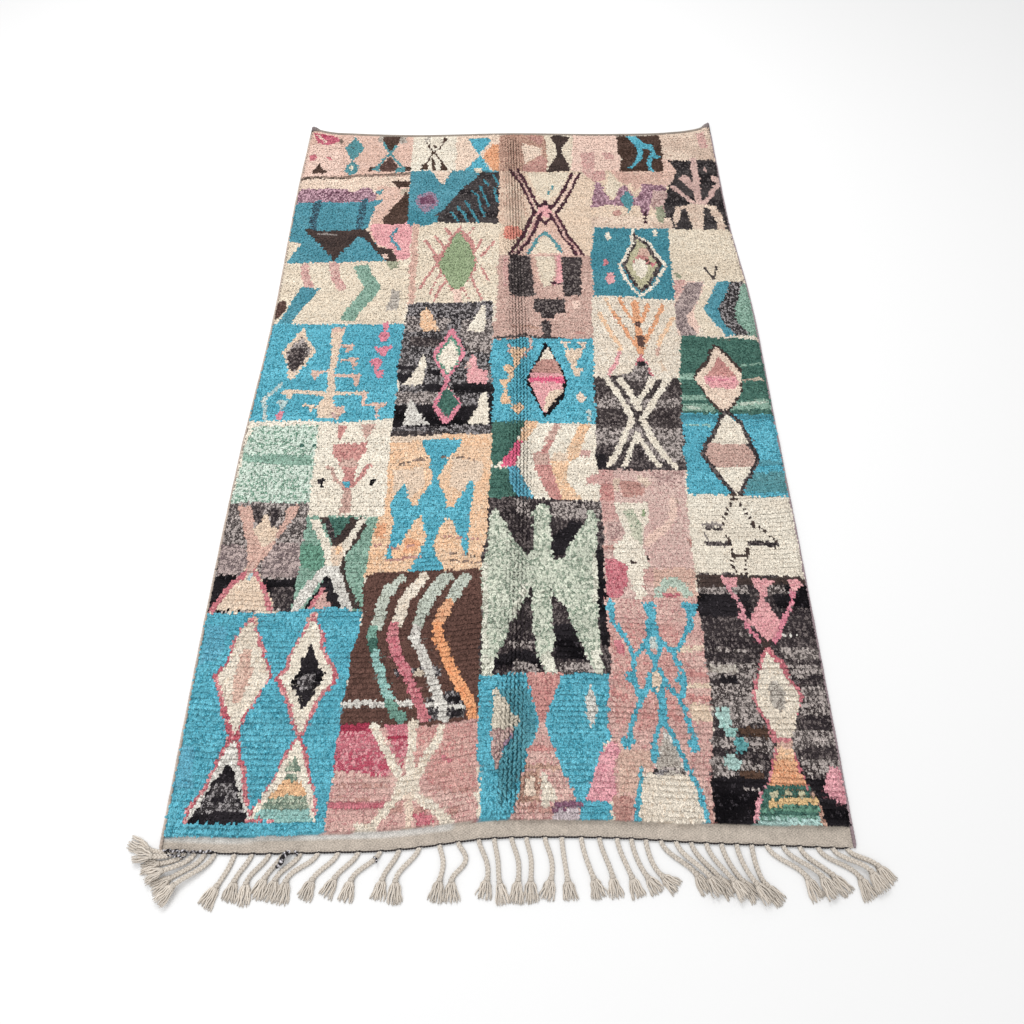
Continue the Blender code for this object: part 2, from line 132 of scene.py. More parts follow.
@dataclass
class Cloth:
    """The laid-out cloth: its outline, heights and place in the frame, as in the frame's solids.

    The tables give how far sides, fold and ends stray from the plain rectangle, by share of the length or x.
    """

    middle: tuple[float, float] = (-0.02, 1.21)
    half_width: float = 0.75
    length: float = 2.475
    weave: float = 0.0035
    pile_top: float = 0.016
    rim_height: float = 0.0065
    rim_slope: float = 0.014
    unevenness: float = 0.0009
    even_margin: float = 0.1
    wave_across: float = 7.3
    wave_along: float = 4.1
    crease_lift: float = 0.0055
    crease_reach: float = 0.062
    crease_fade: float = 0.03
    near_columns: int = 29
    left_side: Table = (
        (0.00, 0.005), (0.24, 0.014), (0.40, 0.014), (0.60, 0.001), (0.85, 0.009), (1.00, 0.005),
    )
    right_side: Table = (
        (0.00, -0.021), (0.20, -0.005), (0.44, 0.010), (0.65, 0.019), (0.77, 0.006), (0.93, 0.010),
        (1.00, 0.013),
    )
    crease_line: Table = ((0.00, -0.010), (0.12, 0.002), (0.50, 0.026), (0.75, 0.020), (1.00, 0.010))
    near_end: Table = (
        (-0.75, -0.0100), (-0.60, -0.0145), (-0.40, -0.0120), (-0.25, -0.0070), (-0.17, 0.0020),
        (-0.08, 0.0135), (0.10, 0.0185), (0.22, 0.0165), (0.40, 0.0070), (0.60, 0.0005), (0.73, -0.0050),
    )
    far_end: Table = (
        (-0.755, 0.035), (-0.720, 0.019), (-0.670, 0.005), (-0.600, -0.001), (-0.400, -0.011), (0.000, 0.000),
        (0.400, -0.004), (0.600, 0.005), (0.680, 0.018), (0.735, 0.038), (0.763, 0.060),
    )
    heading_width: Table = ((-0.75, 0.026), (-0.20, 0.035), (0.10, 0.031), (0.45, 0.035), (0.73, 0.041))

    def check(self) -> None:
        """Log how far the frame's cloth lies from this plan, which should be a millimetre or two."""
        low, high = (np.array(corner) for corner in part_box("rug_cloth"))
        x, _ = self.plan(np.array([0.0, 1.0]), np.array([0.24, 0.65]))
        left, right = x - self.middle[0]
        LOG.info("cloth sides: %.4f %.4f against %.4f %.4f", left, right, low[0], high[0])

    def near_edge(self, x: Array) -> Array:
        """Place of the near edge at x."""
        return smooth_line(self.near_end, x)

    def far_edge(self, x: Array) -> Array:
        """Place of the far edge at x."""
        return self.length + smooth_line(self.far_end, x)

    def sides(self, along: Array) -> tuple[Array, Array]:
        """Places of the left and the right edge at shares of the length."""
        left = -self.half_width - smooth_line(self.left_side, along)
        return left, self.half_width + smooth_line(self.right_side, along)

    def plan(self, across: Array, along: Array) -> tuple[Array, Array]:
        """Plan point at shares of the width and length: a grid bounded by the sides, bent to the crease.

        Args:
            across: Shares of the width, from the left.
            along: Shares of the length, from the near end.

        Returns:
            x and y of the points.
        """
        left, right = self.sides(along)
        bend = smooth_line(self.crease_line, along) - (left + right) / 2
        x = left + (right - left) * across + 4 * across * (1 - across) * bend
        near, far = self.near_edge(x), self.far_edge(x)
        return x, near + (far - near) * along

    def from_side(self, x: Array, along: Array) -> Array:
        """Distance from the nearer side edge."""
        left, right = self.sides(along)
        return np.minimum(x - left, right - x)

    def from_heading(self, x: Array, y: Array) -> Array:
        """Distance beyond the woven heading, less than 0 inside it."""
        return y - self.near_edge(x) - smooth_line(self.heading_width, x)

    def crease(self, x: Array, along: Array) -> Array:
        """Share of the fold's lift: cosine squared of the distance from its line, faded out at both ends."""
        away = np.abs(x - smooth_line(self.crease_line, along)) / self.crease_reach
        fade = ease(along, 0.2 * self.crease_fade, self.crease_fade) * ease(1 - along, 0.0, self.crease_fade)
        return fade * np.cos(np.pi / 2 * np.clip(away, 0.0, 1.0)) ** 2

    def pile_height(self, x: Array, y: Array, along: Array) -> Array:
        """Top of the pile: rounded off at the sides, faintly uneven, and raised over the crease."""
        inside = self.from_side(x, along)
        top = self.rim_height + (self.pile_top - self.rim_height) * ease(inside, 0.0, self.rim_slope)
        waves = np.sin(self.wave_across * x + 1.9 * y) * np.sin(self.wave_along * y - 2.7 * x)
        top += self.unevenness * waves * ease(inside, 0.0, self.even_margin)
        return top + self.crease_lift * self.crease(x, along)

    def near_face(self, x: Array) -> Array:
        """The near edge as the frame's solid has it: straight between its corners."""
        corners = np.linspace(-self.half_width - 0.005, self.half_width - 0.02, self.near_columns)
        return np.interp(x, corners, self.near_edge(corners))

    def to_row(self, x: Array, y: Array, z: Array) -> Array:
        """Points in the frame from plan points and heights, on a last axis of three."""
        x, y, z = np.broadcast_arrays(x, y, z)
        return np.stack([x - self.middle[0], y - self.middle[1], z], axis=-1)


class Value:
    """A number socket in a material, whose arithmetic adds Math nodes."""

    def __init__(self, tree: bpy.types.NodeTree, socket: bpy.types.NodeSocket) -> None:
        """Keep the node tree and the socket."""
        self.tree = tree
        self.socket = socket

    def math(self, operation: str, *others: "Value | float", first: bool = True) -> "Value":
        """A Math node on this value and others.

        Args:
            operation: Blender's name of the operation.
            others: The other operands, sockets or numbers.
            first: Whether this value is the first operand.

        Returns:
            The result.
        """
        node = self.tree.nodes.new("ShaderNodeMath")
        node.operation = operation
        operands = (self, *others) if first else (*others, self)
        for slot, operand in zip(node.inputs, operands):
            if isinstance(operand, Value):
                self.tree.links.new(operand.socket, slot)
            else:
                slot.default_value = operand
        return Value(self.tree, node.outputs[0])

    def __add__(self, other: "Value | float") -> "Value":
        """Sum."""
        return self.math("ADD", other)

    def __mul__(self, other: "Value | float") -> "Value":
        """Product."""
        return self.math("MULTIPLY", other)

    def __sub__(self, other: "Value | float") -> "Value":
        """Difference."""
        return self.math("SUBTRACT", other)

    def __rsub__(self, other: "Value | float") -> "Value":
        """Difference from a number."""
        return self.math("SUBTRACT", other, first=False)

    def sine(self) -> "Value":
        """Sine of radians."""
        return self.math("SINE")

    def clamped(self, low: float, high: float) -> "Value":
        """The value held between two numbers."""
        return self.math("MAXIMUM", low).math("MINIMUM", high)


class Recipe:
    """A material being made: one Principled shader and the nodes that feed it."""

    def __init__(self, name: str, roughness: float, sheen: float = 0.0) -> None:
        """Start a material.

        Args:
            name: The material's name.
            roughness: Roughness all over.
            sheen: Sheen weight all over.
        """
        self.material = bpy.data.materials.new(name)
        self.material.use_nodes = True
        self.tree = self.material.node_tree
        self.shader = self.tree.nodes["Principled BSDF"]
        self.shader.inputs["Roughness"].default_value = roughness
        self.shader.inputs["Sheen Weight"].default_value = sheen
        self.shader.inputs["Sheen Roughness"].default_value = 0.6
        self.shader.inputs["Specular IOR Level"].default_value = 0.06

    def node(self, kind: str, settings: dict | None = None, **sockets: object) -> bpy.types.Node:
        """Add any other node.

        Args:
            kind: The node's type, without ShaderNode.
            settings: Its properties, set first.
            sockets: Inputs by name, with _ for a space: a Value, a socket or a constant.

        Returns:
            The node.
        """
        node = self.tree.nodes.new("ShaderNode" + kind)
        for name, value in (settings or {}).items():
            setattr(node, name, value)
        for name, value in sockets.items():
            slot = next(s for s in node.inputs if s.name == name.replace("_", " ") and s.enabled)
            if isinstance(value, Value):
                self.tree.links.new(value.socket, slot)
            elif isinstance(value, bpy.types.NodeSocket):
                self.tree.links.new(value, slot)
            else:
                slot.default_value = value
        return node

    def value(self, socket: bpy.types.NodeSocket) -> Value:
        """A socket of this material as a number to work with."""
        return Value(self.tree, socket)

    def places(self) -> bpy.types.NodeSocket:
        """The piece's own coordinates, in metres."""
        return self.node("TexCoord").outputs["Object"]

    def noise(self, vector: bpy.types.NodeSocket, scale: float, detail: float = 2.0) -> Value:
        """Noise from 0 to 1, in cells of 1 / scale metres."""
        node = self.node("TexNoise", None, Vector=vector, Scale=scale, Detail=detail, Roughness=0.55)
        return self.value(node.outputs["Fac"])

    def attribute(self, name: str) -> bpy.types.Node:
        """A mesh attribute's node."""
        return self.node("Attribute", {"attribute_name": name, "attribute_type": "GEOMETRY"})

    def mixed(self, share: Value, *ends: bpy.types.NodeSocket) -> bpy.types.NodeSocket:
        """The colour at a share of the way between two others, held between them."""
        node = self.node("Mix", {"data_type": "RGBA", "clamp_factor": True}, Factor=share)
        for slot, colour in zip([s for s in node.inputs if s.type == "RGBA"], ends):
            self.tree.links.new(colour, slot)
        return next(s for s in node.outputs if s.type == "RGBA")

    def ripples(self, cells: float, shake: float, across: float, along: float) -> tuple[Value, Value]:
        """Sines across and along the piece, whose places noise shakes.

        Args:
            cells: The noise's cells in a metre.
            shake: How far it pushes, in metres.
            across: Length of a wave across.
            along: Length of a wave along.

        Returns:
            Both sines.
        """
        split = self.node("SeparateXYZ", None, Vector=self.places())
        push = self.noise(self.places(), cells) * shake
        x, y = (self.value(split.outputs[axis]) + push for axis in ("X", "Y"))
        return (x * (2 * np.pi / across)).sine(), (y * (2 * np.pi / along)).sine()

    def scaled(self, colour: bpy.types.NodeSocket, share: Value) -> bpy.types.NodeSocket:
        """A colour times a number, which may be more than 1."""
        node = self.node("VectorMath", {"operation": "SCALE"}, Vector=colour, Scale=share)
        return node.outputs["Vector"]

    def finish(self, colour: bpy.types.NodeSocket, height: Value, relief: float) -> bpy.types.Material:
        """Feed the shader its colour, and its normal from a bump.

        Args:
            colour: The base colour.
            height: Height of the relief, from 0 to 1.
            relief: What 1 stands for, in metres.

        Returns:
            The finished material.
        """
        bump = self.node("Bump", None, Height=height, Strength=1.0, Distance=relief)
        self.tree.links.new(bump.outputs["Normal"], self.shader.inputs["Normal"])
        self.tree.links.new(colour, self.shader.inputs["Base Color"])
        return self.material


def linear(colour: Colour) -> Array:
    """Linear red, green and blue of a display colour given from 0 to 255."""
    share = np.array(colour, float) / 255
    return np.where(share <= 0.04045, share / 12.92, ((share + 0.055) / 1.055) ** 2.4)


@dataclass(frozen=True)
class Dye:
    """A lot of wool: its colour, that of its odd ends, their share, their clouds, and its shagginess."""

    main: Colour
    odd: Colour
    share: float = 0.15
    cloud: float = 0.35
    shag: float = 0.0


class Wool(Enum):
    """The wools of the pile."""

    SALMON = Dye((218, 188, 174), (205, 168, 150), 0.2)
    SALMON_BROWN = Dye((210, 176, 162), (188, 148, 136), 0.25)
    BLUSH = Dye((228, 200, 186), (214, 182, 168), 0.2)
    BLUSH_FLECK = Dye((226, 206, 188), (166, 132, 116), 0.12)
    BLUSH_GREY = Dye((214, 184, 174), (176, 142, 138), 0.25)
    PALE_BLUSH = Dye((228, 208, 190), (216, 190, 172), 0.2)
    PEACH_CREAM = Dye((220, 200, 180), (214, 188, 164), 0.2)
    PEACH_PINK = Dye((216, 186, 170), (188, 148, 135), 0.25)
    STREAKED_CREAM = Dye((222, 198, 178), (174, 132, 115), 0.18)
    CREAM = Dye((226, 216, 201), (206, 188, 168), 0.2)
    IVORY = Dye((223, 211, 192), (208, 190, 168), 0.2)
    CREAM_FLECK = Dye((215, 200, 180), (120, 105, 95), 0.3)
    MILK = Dye((229, 221, 206), (214, 200, 182), 0.15)
    ROSE = Dye((186, 106, 116), (210, 150, 150), 0.3)
    ROSE_PALE = Dye((212, 178, 168), (182, 130, 128), 0.25)
    ROSE_BROWN = Dye((196, 155, 144), (158, 110, 104), 0.3)
    PINK = Dye((226, 172, 172), (205, 138, 145), 0.25)
    CANDY = Dye((216, 146, 158), (200, 108, 130), 0.25)
    CRIMSON_SOFT = Dye((204, 134, 140), (172, 84, 98), 0.3)
    HOT_PINK = Dye((224, 112, 140), (204, 78, 114), 0.25)
    WORN_PINK = Dye((214, 188, 178), (188, 150, 145), 0.3)
    DUSTY_PINK = Dye((204, 174, 162), (176, 140, 130), 0.28)
    DUSTY_ROSE = Dye((202, 152, 144), (172, 112, 110), 0.28)
    CORAL_GLOW = Dye((220, 152, 134), (205, 115, 104), 0.25)
    CRIMSON = Dye((162, 62, 82), (132, 42, 60), 0.25)
    CRIMSON_FLECK = Dye((170, 60, 90), (205, 130, 140), 0.35)
    MAROON = Dye((62, 40, 48), (100, 60, 72), 0.2)
    BROWN_ROSE = Dye((76, 56, 50), (118, 92, 86), 0.3)
    BROWN_FLECK = Dye((66, 52, 46), (176, 152, 138), 0.4)
    DARK_BROWN = Dye((64, 48, 40), (98, 78, 70), 0.3)
    BLACK_BROWN = Dye((60, 50, 48), (88, 72, 66), 0.2)
    BLACK = Dye((14, 12, 15), (66, 61, 65), 0.12)
    CHARCOAL = Dye((44, 38, 41), (118, 108, 106), 0.34, 0.1)
    FADED_BLACK = Dye((36, 32, 34), (104, 97, 96), 0.24)
    WORN_CHARCOAL = Dye((48, 41, 43), (126, 116, 113), 0.34, 0.1)
    CHARCOAL_LIGHT = Dye((32, 28, 31), (160, 154, 154), 0.42, 0.1)
    HEATHER = Dye((56, 49, 49), (184, 173, 168), 0.52, 0.1)
    FROST = Dye((224, 220, 212), (162, 156, 150), 0.28)
    GREY_FLECK = Dye((198, 190, 180), (130, 120, 112), 0.3)
    GREY_STREAK = Dye((120, 112, 108), (165, 155, 150), 0.3)
    TEAL = Dye((98, 150, 156), (68, 124, 132), 0.25)
    TURQUOISE = Dye((105, 182, 200), (58, 134, 153), 0.3)
    TURQUOISE_FADED = Dye((94, 153, 167), (54, 116, 131), 0.28)
    TURQUOISE_DEEP = Dye((82, 144, 157), (50, 112, 128), 0.28)
    GREEN = Dye((112, 156, 136), (76, 112, 95), 0.3)
    SKY = Dye((108, 174, 194), (70, 140, 162), 0.25)
    SEA = Dye((98, 160, 172), (55, 115, 130), 0.3)
    MINT_SPECK = Dye((222, 215, 196), (96, 128, 100), 0.2)
    ROSE_RUST = Dye((176, 86, 98), (216, 162, 160), 0.35)
    SALMON_ROSE = Dye((208, 170, 160), (186, 125, 122), 0.28)
    CRIMSON_MIX = Dye((176, 80, 98), (208, 150, 154), 0.42)
    CANDY_LIGHT = Dye((226, 168, 174), (190, 124, 136), 0.28)
    MAUVE_MIST = Dye((200, 188, 190), (175, 160, 166), 0.3)
    BEIGE = Dye((220, 210, 192), (190, 180, 164), 0.25)
    BROWN = Dye((92, 70, 58), (64, 50, 44), 0.3)
    COCOA = Dye((104, 76, 68), (78, 56, 50), 0.3)
    MIST_GREEN = Dye((196, 202, 190), (142, 145, 132), 0.22)
    MINT_CREAM = Dye((212, 215, 198), (116, 132, 115), 0.36, 0.2, 1.0)
    MILK_SHAG = Dye((224, 222, 207), (152, 154, 138), 0.28, 0.2, 1.0)
    AQUA = Dye((158, 195, 188), (112, 155, 150), 0.25)
    AQUA_GREEN = Dye((130, 170, 155), (85, 120, 108), 0.3)
    AQUA_PALE = Dye((180, 208, 202), (142, 175, 168), 0.2)
    TEAL_SOFT = Dye((100, 158, 160), (65, 120, 125), 0.25)
    SPRUCE_FLECK = Dye((78, 106, 94), (186, 192, 172), 0.35)
    ORANGE_PALE = Dye((230, 190, 150), (206, 158, 120), 0.25)
    TANGERINE = Dye((234, 172, 128), (218, 142, 98), 0.25)
    SUN = Dye((222, 186, 138), (190, 165, 120), 0.3)
    SPRUCE = Dye((82, 119, 107), (48, 82, 74), 0.34)
    MIST = Dye((198, 202, 195), (120, 180, 190), 0.2)
    MINT_MOTTLE = Dye((204, 216, 204), (86, 130, 108), 0.33, 0.06)
    APRICOT = Dye((226, 176, 140), (206, 142, 106), 0.25)
    PEACH = Dye((228, 186, 150), (224, 202, 178), 0.26)
    SAGE = Dye((148, 178, 162), (98, 132, 116), 0.3)
    LEAF = Dye((158, 172, 138), (122, 140, 105), 0.3)
    LEAF_YELLOW = Dye((194, 188, 160), (165, 160, 128), 0.3)
    MOSS_FLECK = Dye((166, 168, 145), (112, 116, 94), 0.32)
    MINT = Dye((188, 200, 186), (150, 168, 152), 0.25)
    ORANGE = Dye((224, 172, 136), (206, 138, 100), 0.25)
    PLUM_HAZE = Dye((160, 130, 148), (105, 130, 150), 0.3)
    PLUM_FLECK = Dye((108, 68, 90), (150, 115, 132), 0.3)
    MAUVE_FLECK = Dye((104, 68, 84), (204, 168, 178), 0.4)
    INK_FLECK = Dye((44, 42, 54), (84, 138, 154), 0.4)
    MAUVE_PALE = Dye((204, 176, 168), (145, 112, 110), 0.35)
    MAUVE_BROWN = Dye((198, 164, 146), (146, 106, 94), 0.32)
    MAUVE_GREY = Dye((188, 170, 165), (102, 88, 90), 0.42)


@dataclass(frozen=True)
class Shape:
    """A patch of one wool with straight edges; its corners are rows of centimetres across and along."""

    wool: Wool
    ring: Array

    def covers(self, x: Array, y: Array) -> Array:
        """Whether each point lies inside: an odd number of edges lie to its right."""
        inside = np.zeros(x.shape, bool)
        for (ax, ay), (bx, by) in zip(self.ring, np.roll(self.ring, -1, axis=0)):
            if ay != by:
                spans = (ay > y) != (by > y)
                inside ^= spans & (x < (bx - ax) * (y - ay) / (by - ay) + ax)
        return inside

    def box(self) -> tuple[Array, Array]:
        """Lowest and highest corner."""
        return self.ring.min(axis=0), self.ring.max(axis=0)


@dataclass(frozen=True)
class Line:
    """A line of one wool, so many centimetres wide; dash is the length of a dash and its gap together."""

    wool: Wool
    ring: Array
    width: float
    dash: float = 0.0

    def covers(self, x: Array, y: Array) -> Array:
        """Whether each point lies within half the width, and on a dash."""
        near = np.zeros(x.shape, bool)
        run = 0.0
        for (ax, ay), (bx, by) in zip(self.ring[:-1], self.ring[1:]):
            length = float(np.hypot(bx - ax, by - ay))
            t = ((x - ax) * (bx - ax) + (y - ay) * (by - ay)) / length**2
            held = np.clip(t, 0.0, 1.0)
            away = np.hypot(x - ax - held * (bx - ax), y - ay - held * (by - ay))
            on = (run + held * length) % self.dash < self.dash / 2 if self.dash else True
            near |= (away < self.width / 2) & on
            run += length
        return near

    def box(self) -> tuple[Array, Array]:
        """Lowest and highest place reached."""
        return self.ring.min(axis=0) - self.width, self.ring.max(axis=0) + self.width


@dataclass(frozen=True)
class Compartment:
    """A part of the knotting chart: what it shows, its low corner, and its marks, on squares of 4 mm.

    A mark is a wool and the squares of its corners, across and along by turns. A line has its width behind
    its wool, in millimetres, and a dashed one the length of a dash and its gap as well.
    """

    shows: str
    corner: tuple[int, int]
    chart: str
    square: float = 0.4

    def marks(self) -> list[Shape | Line]:
        """The marks in their order: each word that is no number starts one."""
        entries: list[list[str]] = []
        for word in self.chart.split():
            if word[0].isalpha():
                entries.append([])
            entries[-1].append(word)
        return [self.mark(*entry) for entry in entries]

    def mark(self, head: str, *numbers: str) -> Shape | Line:
        """One mark from its words: a patch, or a line where the wool is followed by sizes."""
        wool, *sizes = head.split("/")
        ring = (np.array(numbers, float).reshape(-1, 2) + self.corner) * self.square
        if not sizes:
            return Shape(Wool[wool], ring)
        return Line(Wool[wool], ring, *(float(size) / 10 for size in sizes))


FAR = (
    Compartment("First from the left: pale salmon with a diamond and an hourglass", (-200, 550), """
SALMON 110 88 109 5 0 1 0 88
BLUSH 0 2 0 50 40 52 45 5
CRIMSON_FLECK 14 68 28 65 38 61 41 56 28 50 18 54
BLUSH/10 18 64 26 54
BROWN_FLECK 39 60 42 56 42 51 38 53
ROSE 19 37 22 31 19 26 14 28 14 34
ROSE 32 34 35 28 32 28 30 32
DARK_BROWN 25 24 28 16 32 10 31 8 19 8
TEAL 55 25 46 45 51 55 53 62 63 46
DARK_BROWN/4 52 45 58 45
TEAL 55 25 60 20 62 12 59 8 54 6 48 11 49 18
IVORY 55 12 52 16 54 20 57 16
GREY_FLECK 109 52 75 55 75 68 109 68
SALMON 102 68 110 68 110 50 102 50
DARK_BROWN 88 39 80 54 80 64 96 64 96 58
TEAL/9 80 54 87 38 79 19 75 14
TEAL/9 93 49 88 38 98 21 104 14
BROWN_ROSE 88 35 98 16 95 12 81 12 81 18
TEAL 81 12 75 12 80 19
TEAL 95 10 97 16 104 16 104 10
DARK_BROWN 71 18 75 18 75 12 71 12
DARK_BROWN 104 12 104 18 110 18 110 12
"""),
    Compartment("Under it: a pale stripe, a purple stripe and a blue field", (-200, 370), """
PALE_BLUSH 110 185 110 5 0 5 0 181
BROWN_FLECK/15 10 182 50 182 60 185 109 188
SALMON 80 170 110 170 110 75 80 75
DARK_BROWN 92 178 109 178 109 169 102 169 100 166 98 172 94 174
CREAM_FLECK 102 158 102 168 109 168 109 158
"""),
    Compartment("Second: cream with a crossing figure, peach with an hourglass", (-100, 480), """
MILK 8 158 50 158 50 81 9 81
PALE_BLUSH 50 158 90 158 90 81 50 81
DARK_BROWN/6 20 129 28 109 36 98 40 89
DARK_BROWN/6 39 129 34 116 27 105 22 92
DARK_BROWN/10 28 100 31 84
GREY_FLECK/10 19 132 21 127
GREY_FLECK/10 23 132 24 127
DARK_BROWN/10 37 132 40 127
DARK_BROWN/8 28 120 31 116
DARK_BROWN 22 95 26 85 25 83 18 84 19 91
DARK_BROWN 37 94 44 83 36 83
ORANGE 91 80 85 82 74 99 77 110 84 121 91 120
TURQUOISE 59 130 80 130 82 126 72 108 70 108
TURQUOISE/7 72 110 72 100
TURQUOISE 56 80 62 88 70 102 74 102 76 94 82 83 86 80
TURQUOISE_FADED 9 82 91 82 91 9 10 9
PALE_BLUSH 28 82 46 82 41 64 38 64
IVORY 67 85 74 85 75 80 72 78 68 80
PLUM_HAZE 30 54 34 48 37 40 32 30 26 24 20 30 16 38 18 48
PLUM_FLECK 20 36 20 44 28 50 33 44 34 38
FADED_BLACK 26 10 43 32 54 51 66 70 73 80 90 80 92 10
TURQUOISE_DEEP/9 50 25 55 13
TURQUOISE_DEEP/9 55 33 63 13
TURQUOISE_DEEP/9 60 40 72 13
TURQUOISE_DEEP/9 66 53 71 47
TURQUOISE_DEEP/8 71 44 78 20
TURQUOISE_DEEP/9 72 61 81 34
TURQUOISE_DEEP/9 76 70 80 61
TURQUOISE_DEEP/9 85 58 90 38
TURQUOISE_DEEP/9 85 75 90 60
"""),
    Compartment("Middle of the far row: mottled mauve, an hourglass on cream, blush", (-20, 450), """
MAUVE_BROWN 10 188 55 188 55 111 10 111
PALE_BLUSH 32 122 32 152 50 145 50 135
ROSE_BROWN 36 164 51 164 50 151 44 152
ROSE_BROWN 31 111 54 111 54 128 49 134 41 126 32 119
IVORY 82 188 82 111 55 111 51 188
BLUSH 76 111 82 188 122 188 122 111
ROSE_PALE 99 141 98 111 86 111 86 138
ROSE_PALE 105 139 116 138 116 128 108 129
BLACK_BROWN 68 136 64 136 62 149 58 162 60 167 78 162 70 150
BLACK_BROWN 54 111 65 139 68 139 74 121 75 111
PEACH_CREAM 91 0 10 0 10 111 90 111
STREAKED_CREAM 10 0 10 111 32 111 38 80 35 0
IVORY 74 110 62 80 52 72 44 78 35 110
MAROON/13 20 112 27 99 40 62 45 40
MAROON/13 27 112 44 66 46 59 50 70 55 61 62 72 76 108
MAROON/13 83 108 68 69 57 50
ROSE_PALE/8 24 112 30 96 42 61
BLUSH/9 80 106 65 70 58 59
PINK 50 40 43 50 44 60 50 66 55 60 57 50
TEAL/6 58 92 54 80
"""),
    Compartment("Right of the fold: a dark square, and a zigzag below it", (60, 480), """
PEACH_CREAM 90 82 80 8 10 8 10 82
ROSE_PALE 5 82 28 82 25 70 15 65
SALMON_BROWN 32 82 49 82 50 66 46 62 38 66
PEACH_PINK 50 51 49 82 80 82 82 60 60 64
IVORY 31 80 25 62 26 50 31 44 38 56 40 64 35 70
MAUVE_FLECK 80 61 80 48 71 52 64 34 61 20 56 21 54 34 24 35 18 32 12 33 16 66 21 65 24 52 31 40 39 58 44 62
50 42 56 52 59 64
MAUVE_PALE 72 22 64 34 68 54 80 54 79 32
TEAL 44 22 42 32 38 38 38 44 44 53 48 46 49 40 46 32
MOSS_FLECK 75 34 76 19 68 18 68 31
ROSE_BROWN 36 29 38 21 32 20 29 26
BLUSH_FLECK 81 158 140 158 140 96 81 96
ROSE_PALE 124 140 125 115 118 115 116 138
SALMON 78 60 79 98 89 98 92 80 84 60
DARK_BROWN 82 134 82 105 80 81 40 81 43 100 40 112 42 134
TURQUOISE 50 134 59 133 66 123 74 118 76 105 80 101 78 98 72 100 70 89 72 80 68 81 66 93 68 102 72 110
68 114 64 116 62 100 51 84 48 86 54 95 58 105 58 115
"""),
    Compartment("Far right: a branching figure on black", (130, 480), """
FADED_BLACK 70 4 8 4 6 35 10 52 22 82 16 96 70 99
BLUSH_GREY/25 39 98 37 32 39 18
BLUSH_GREY 36 50 22 72 28 77 32 74 34 65 38 60
BLUSH_GREY/17 16 59 34 35
BLUSH_GREY 70 75 70 64 56 64 52 69 52 75
BLUSH_GREY/18 58 64 50 50 42 38 38 28
BLUSH_GREY/10 48 86 49 82
"""),
)


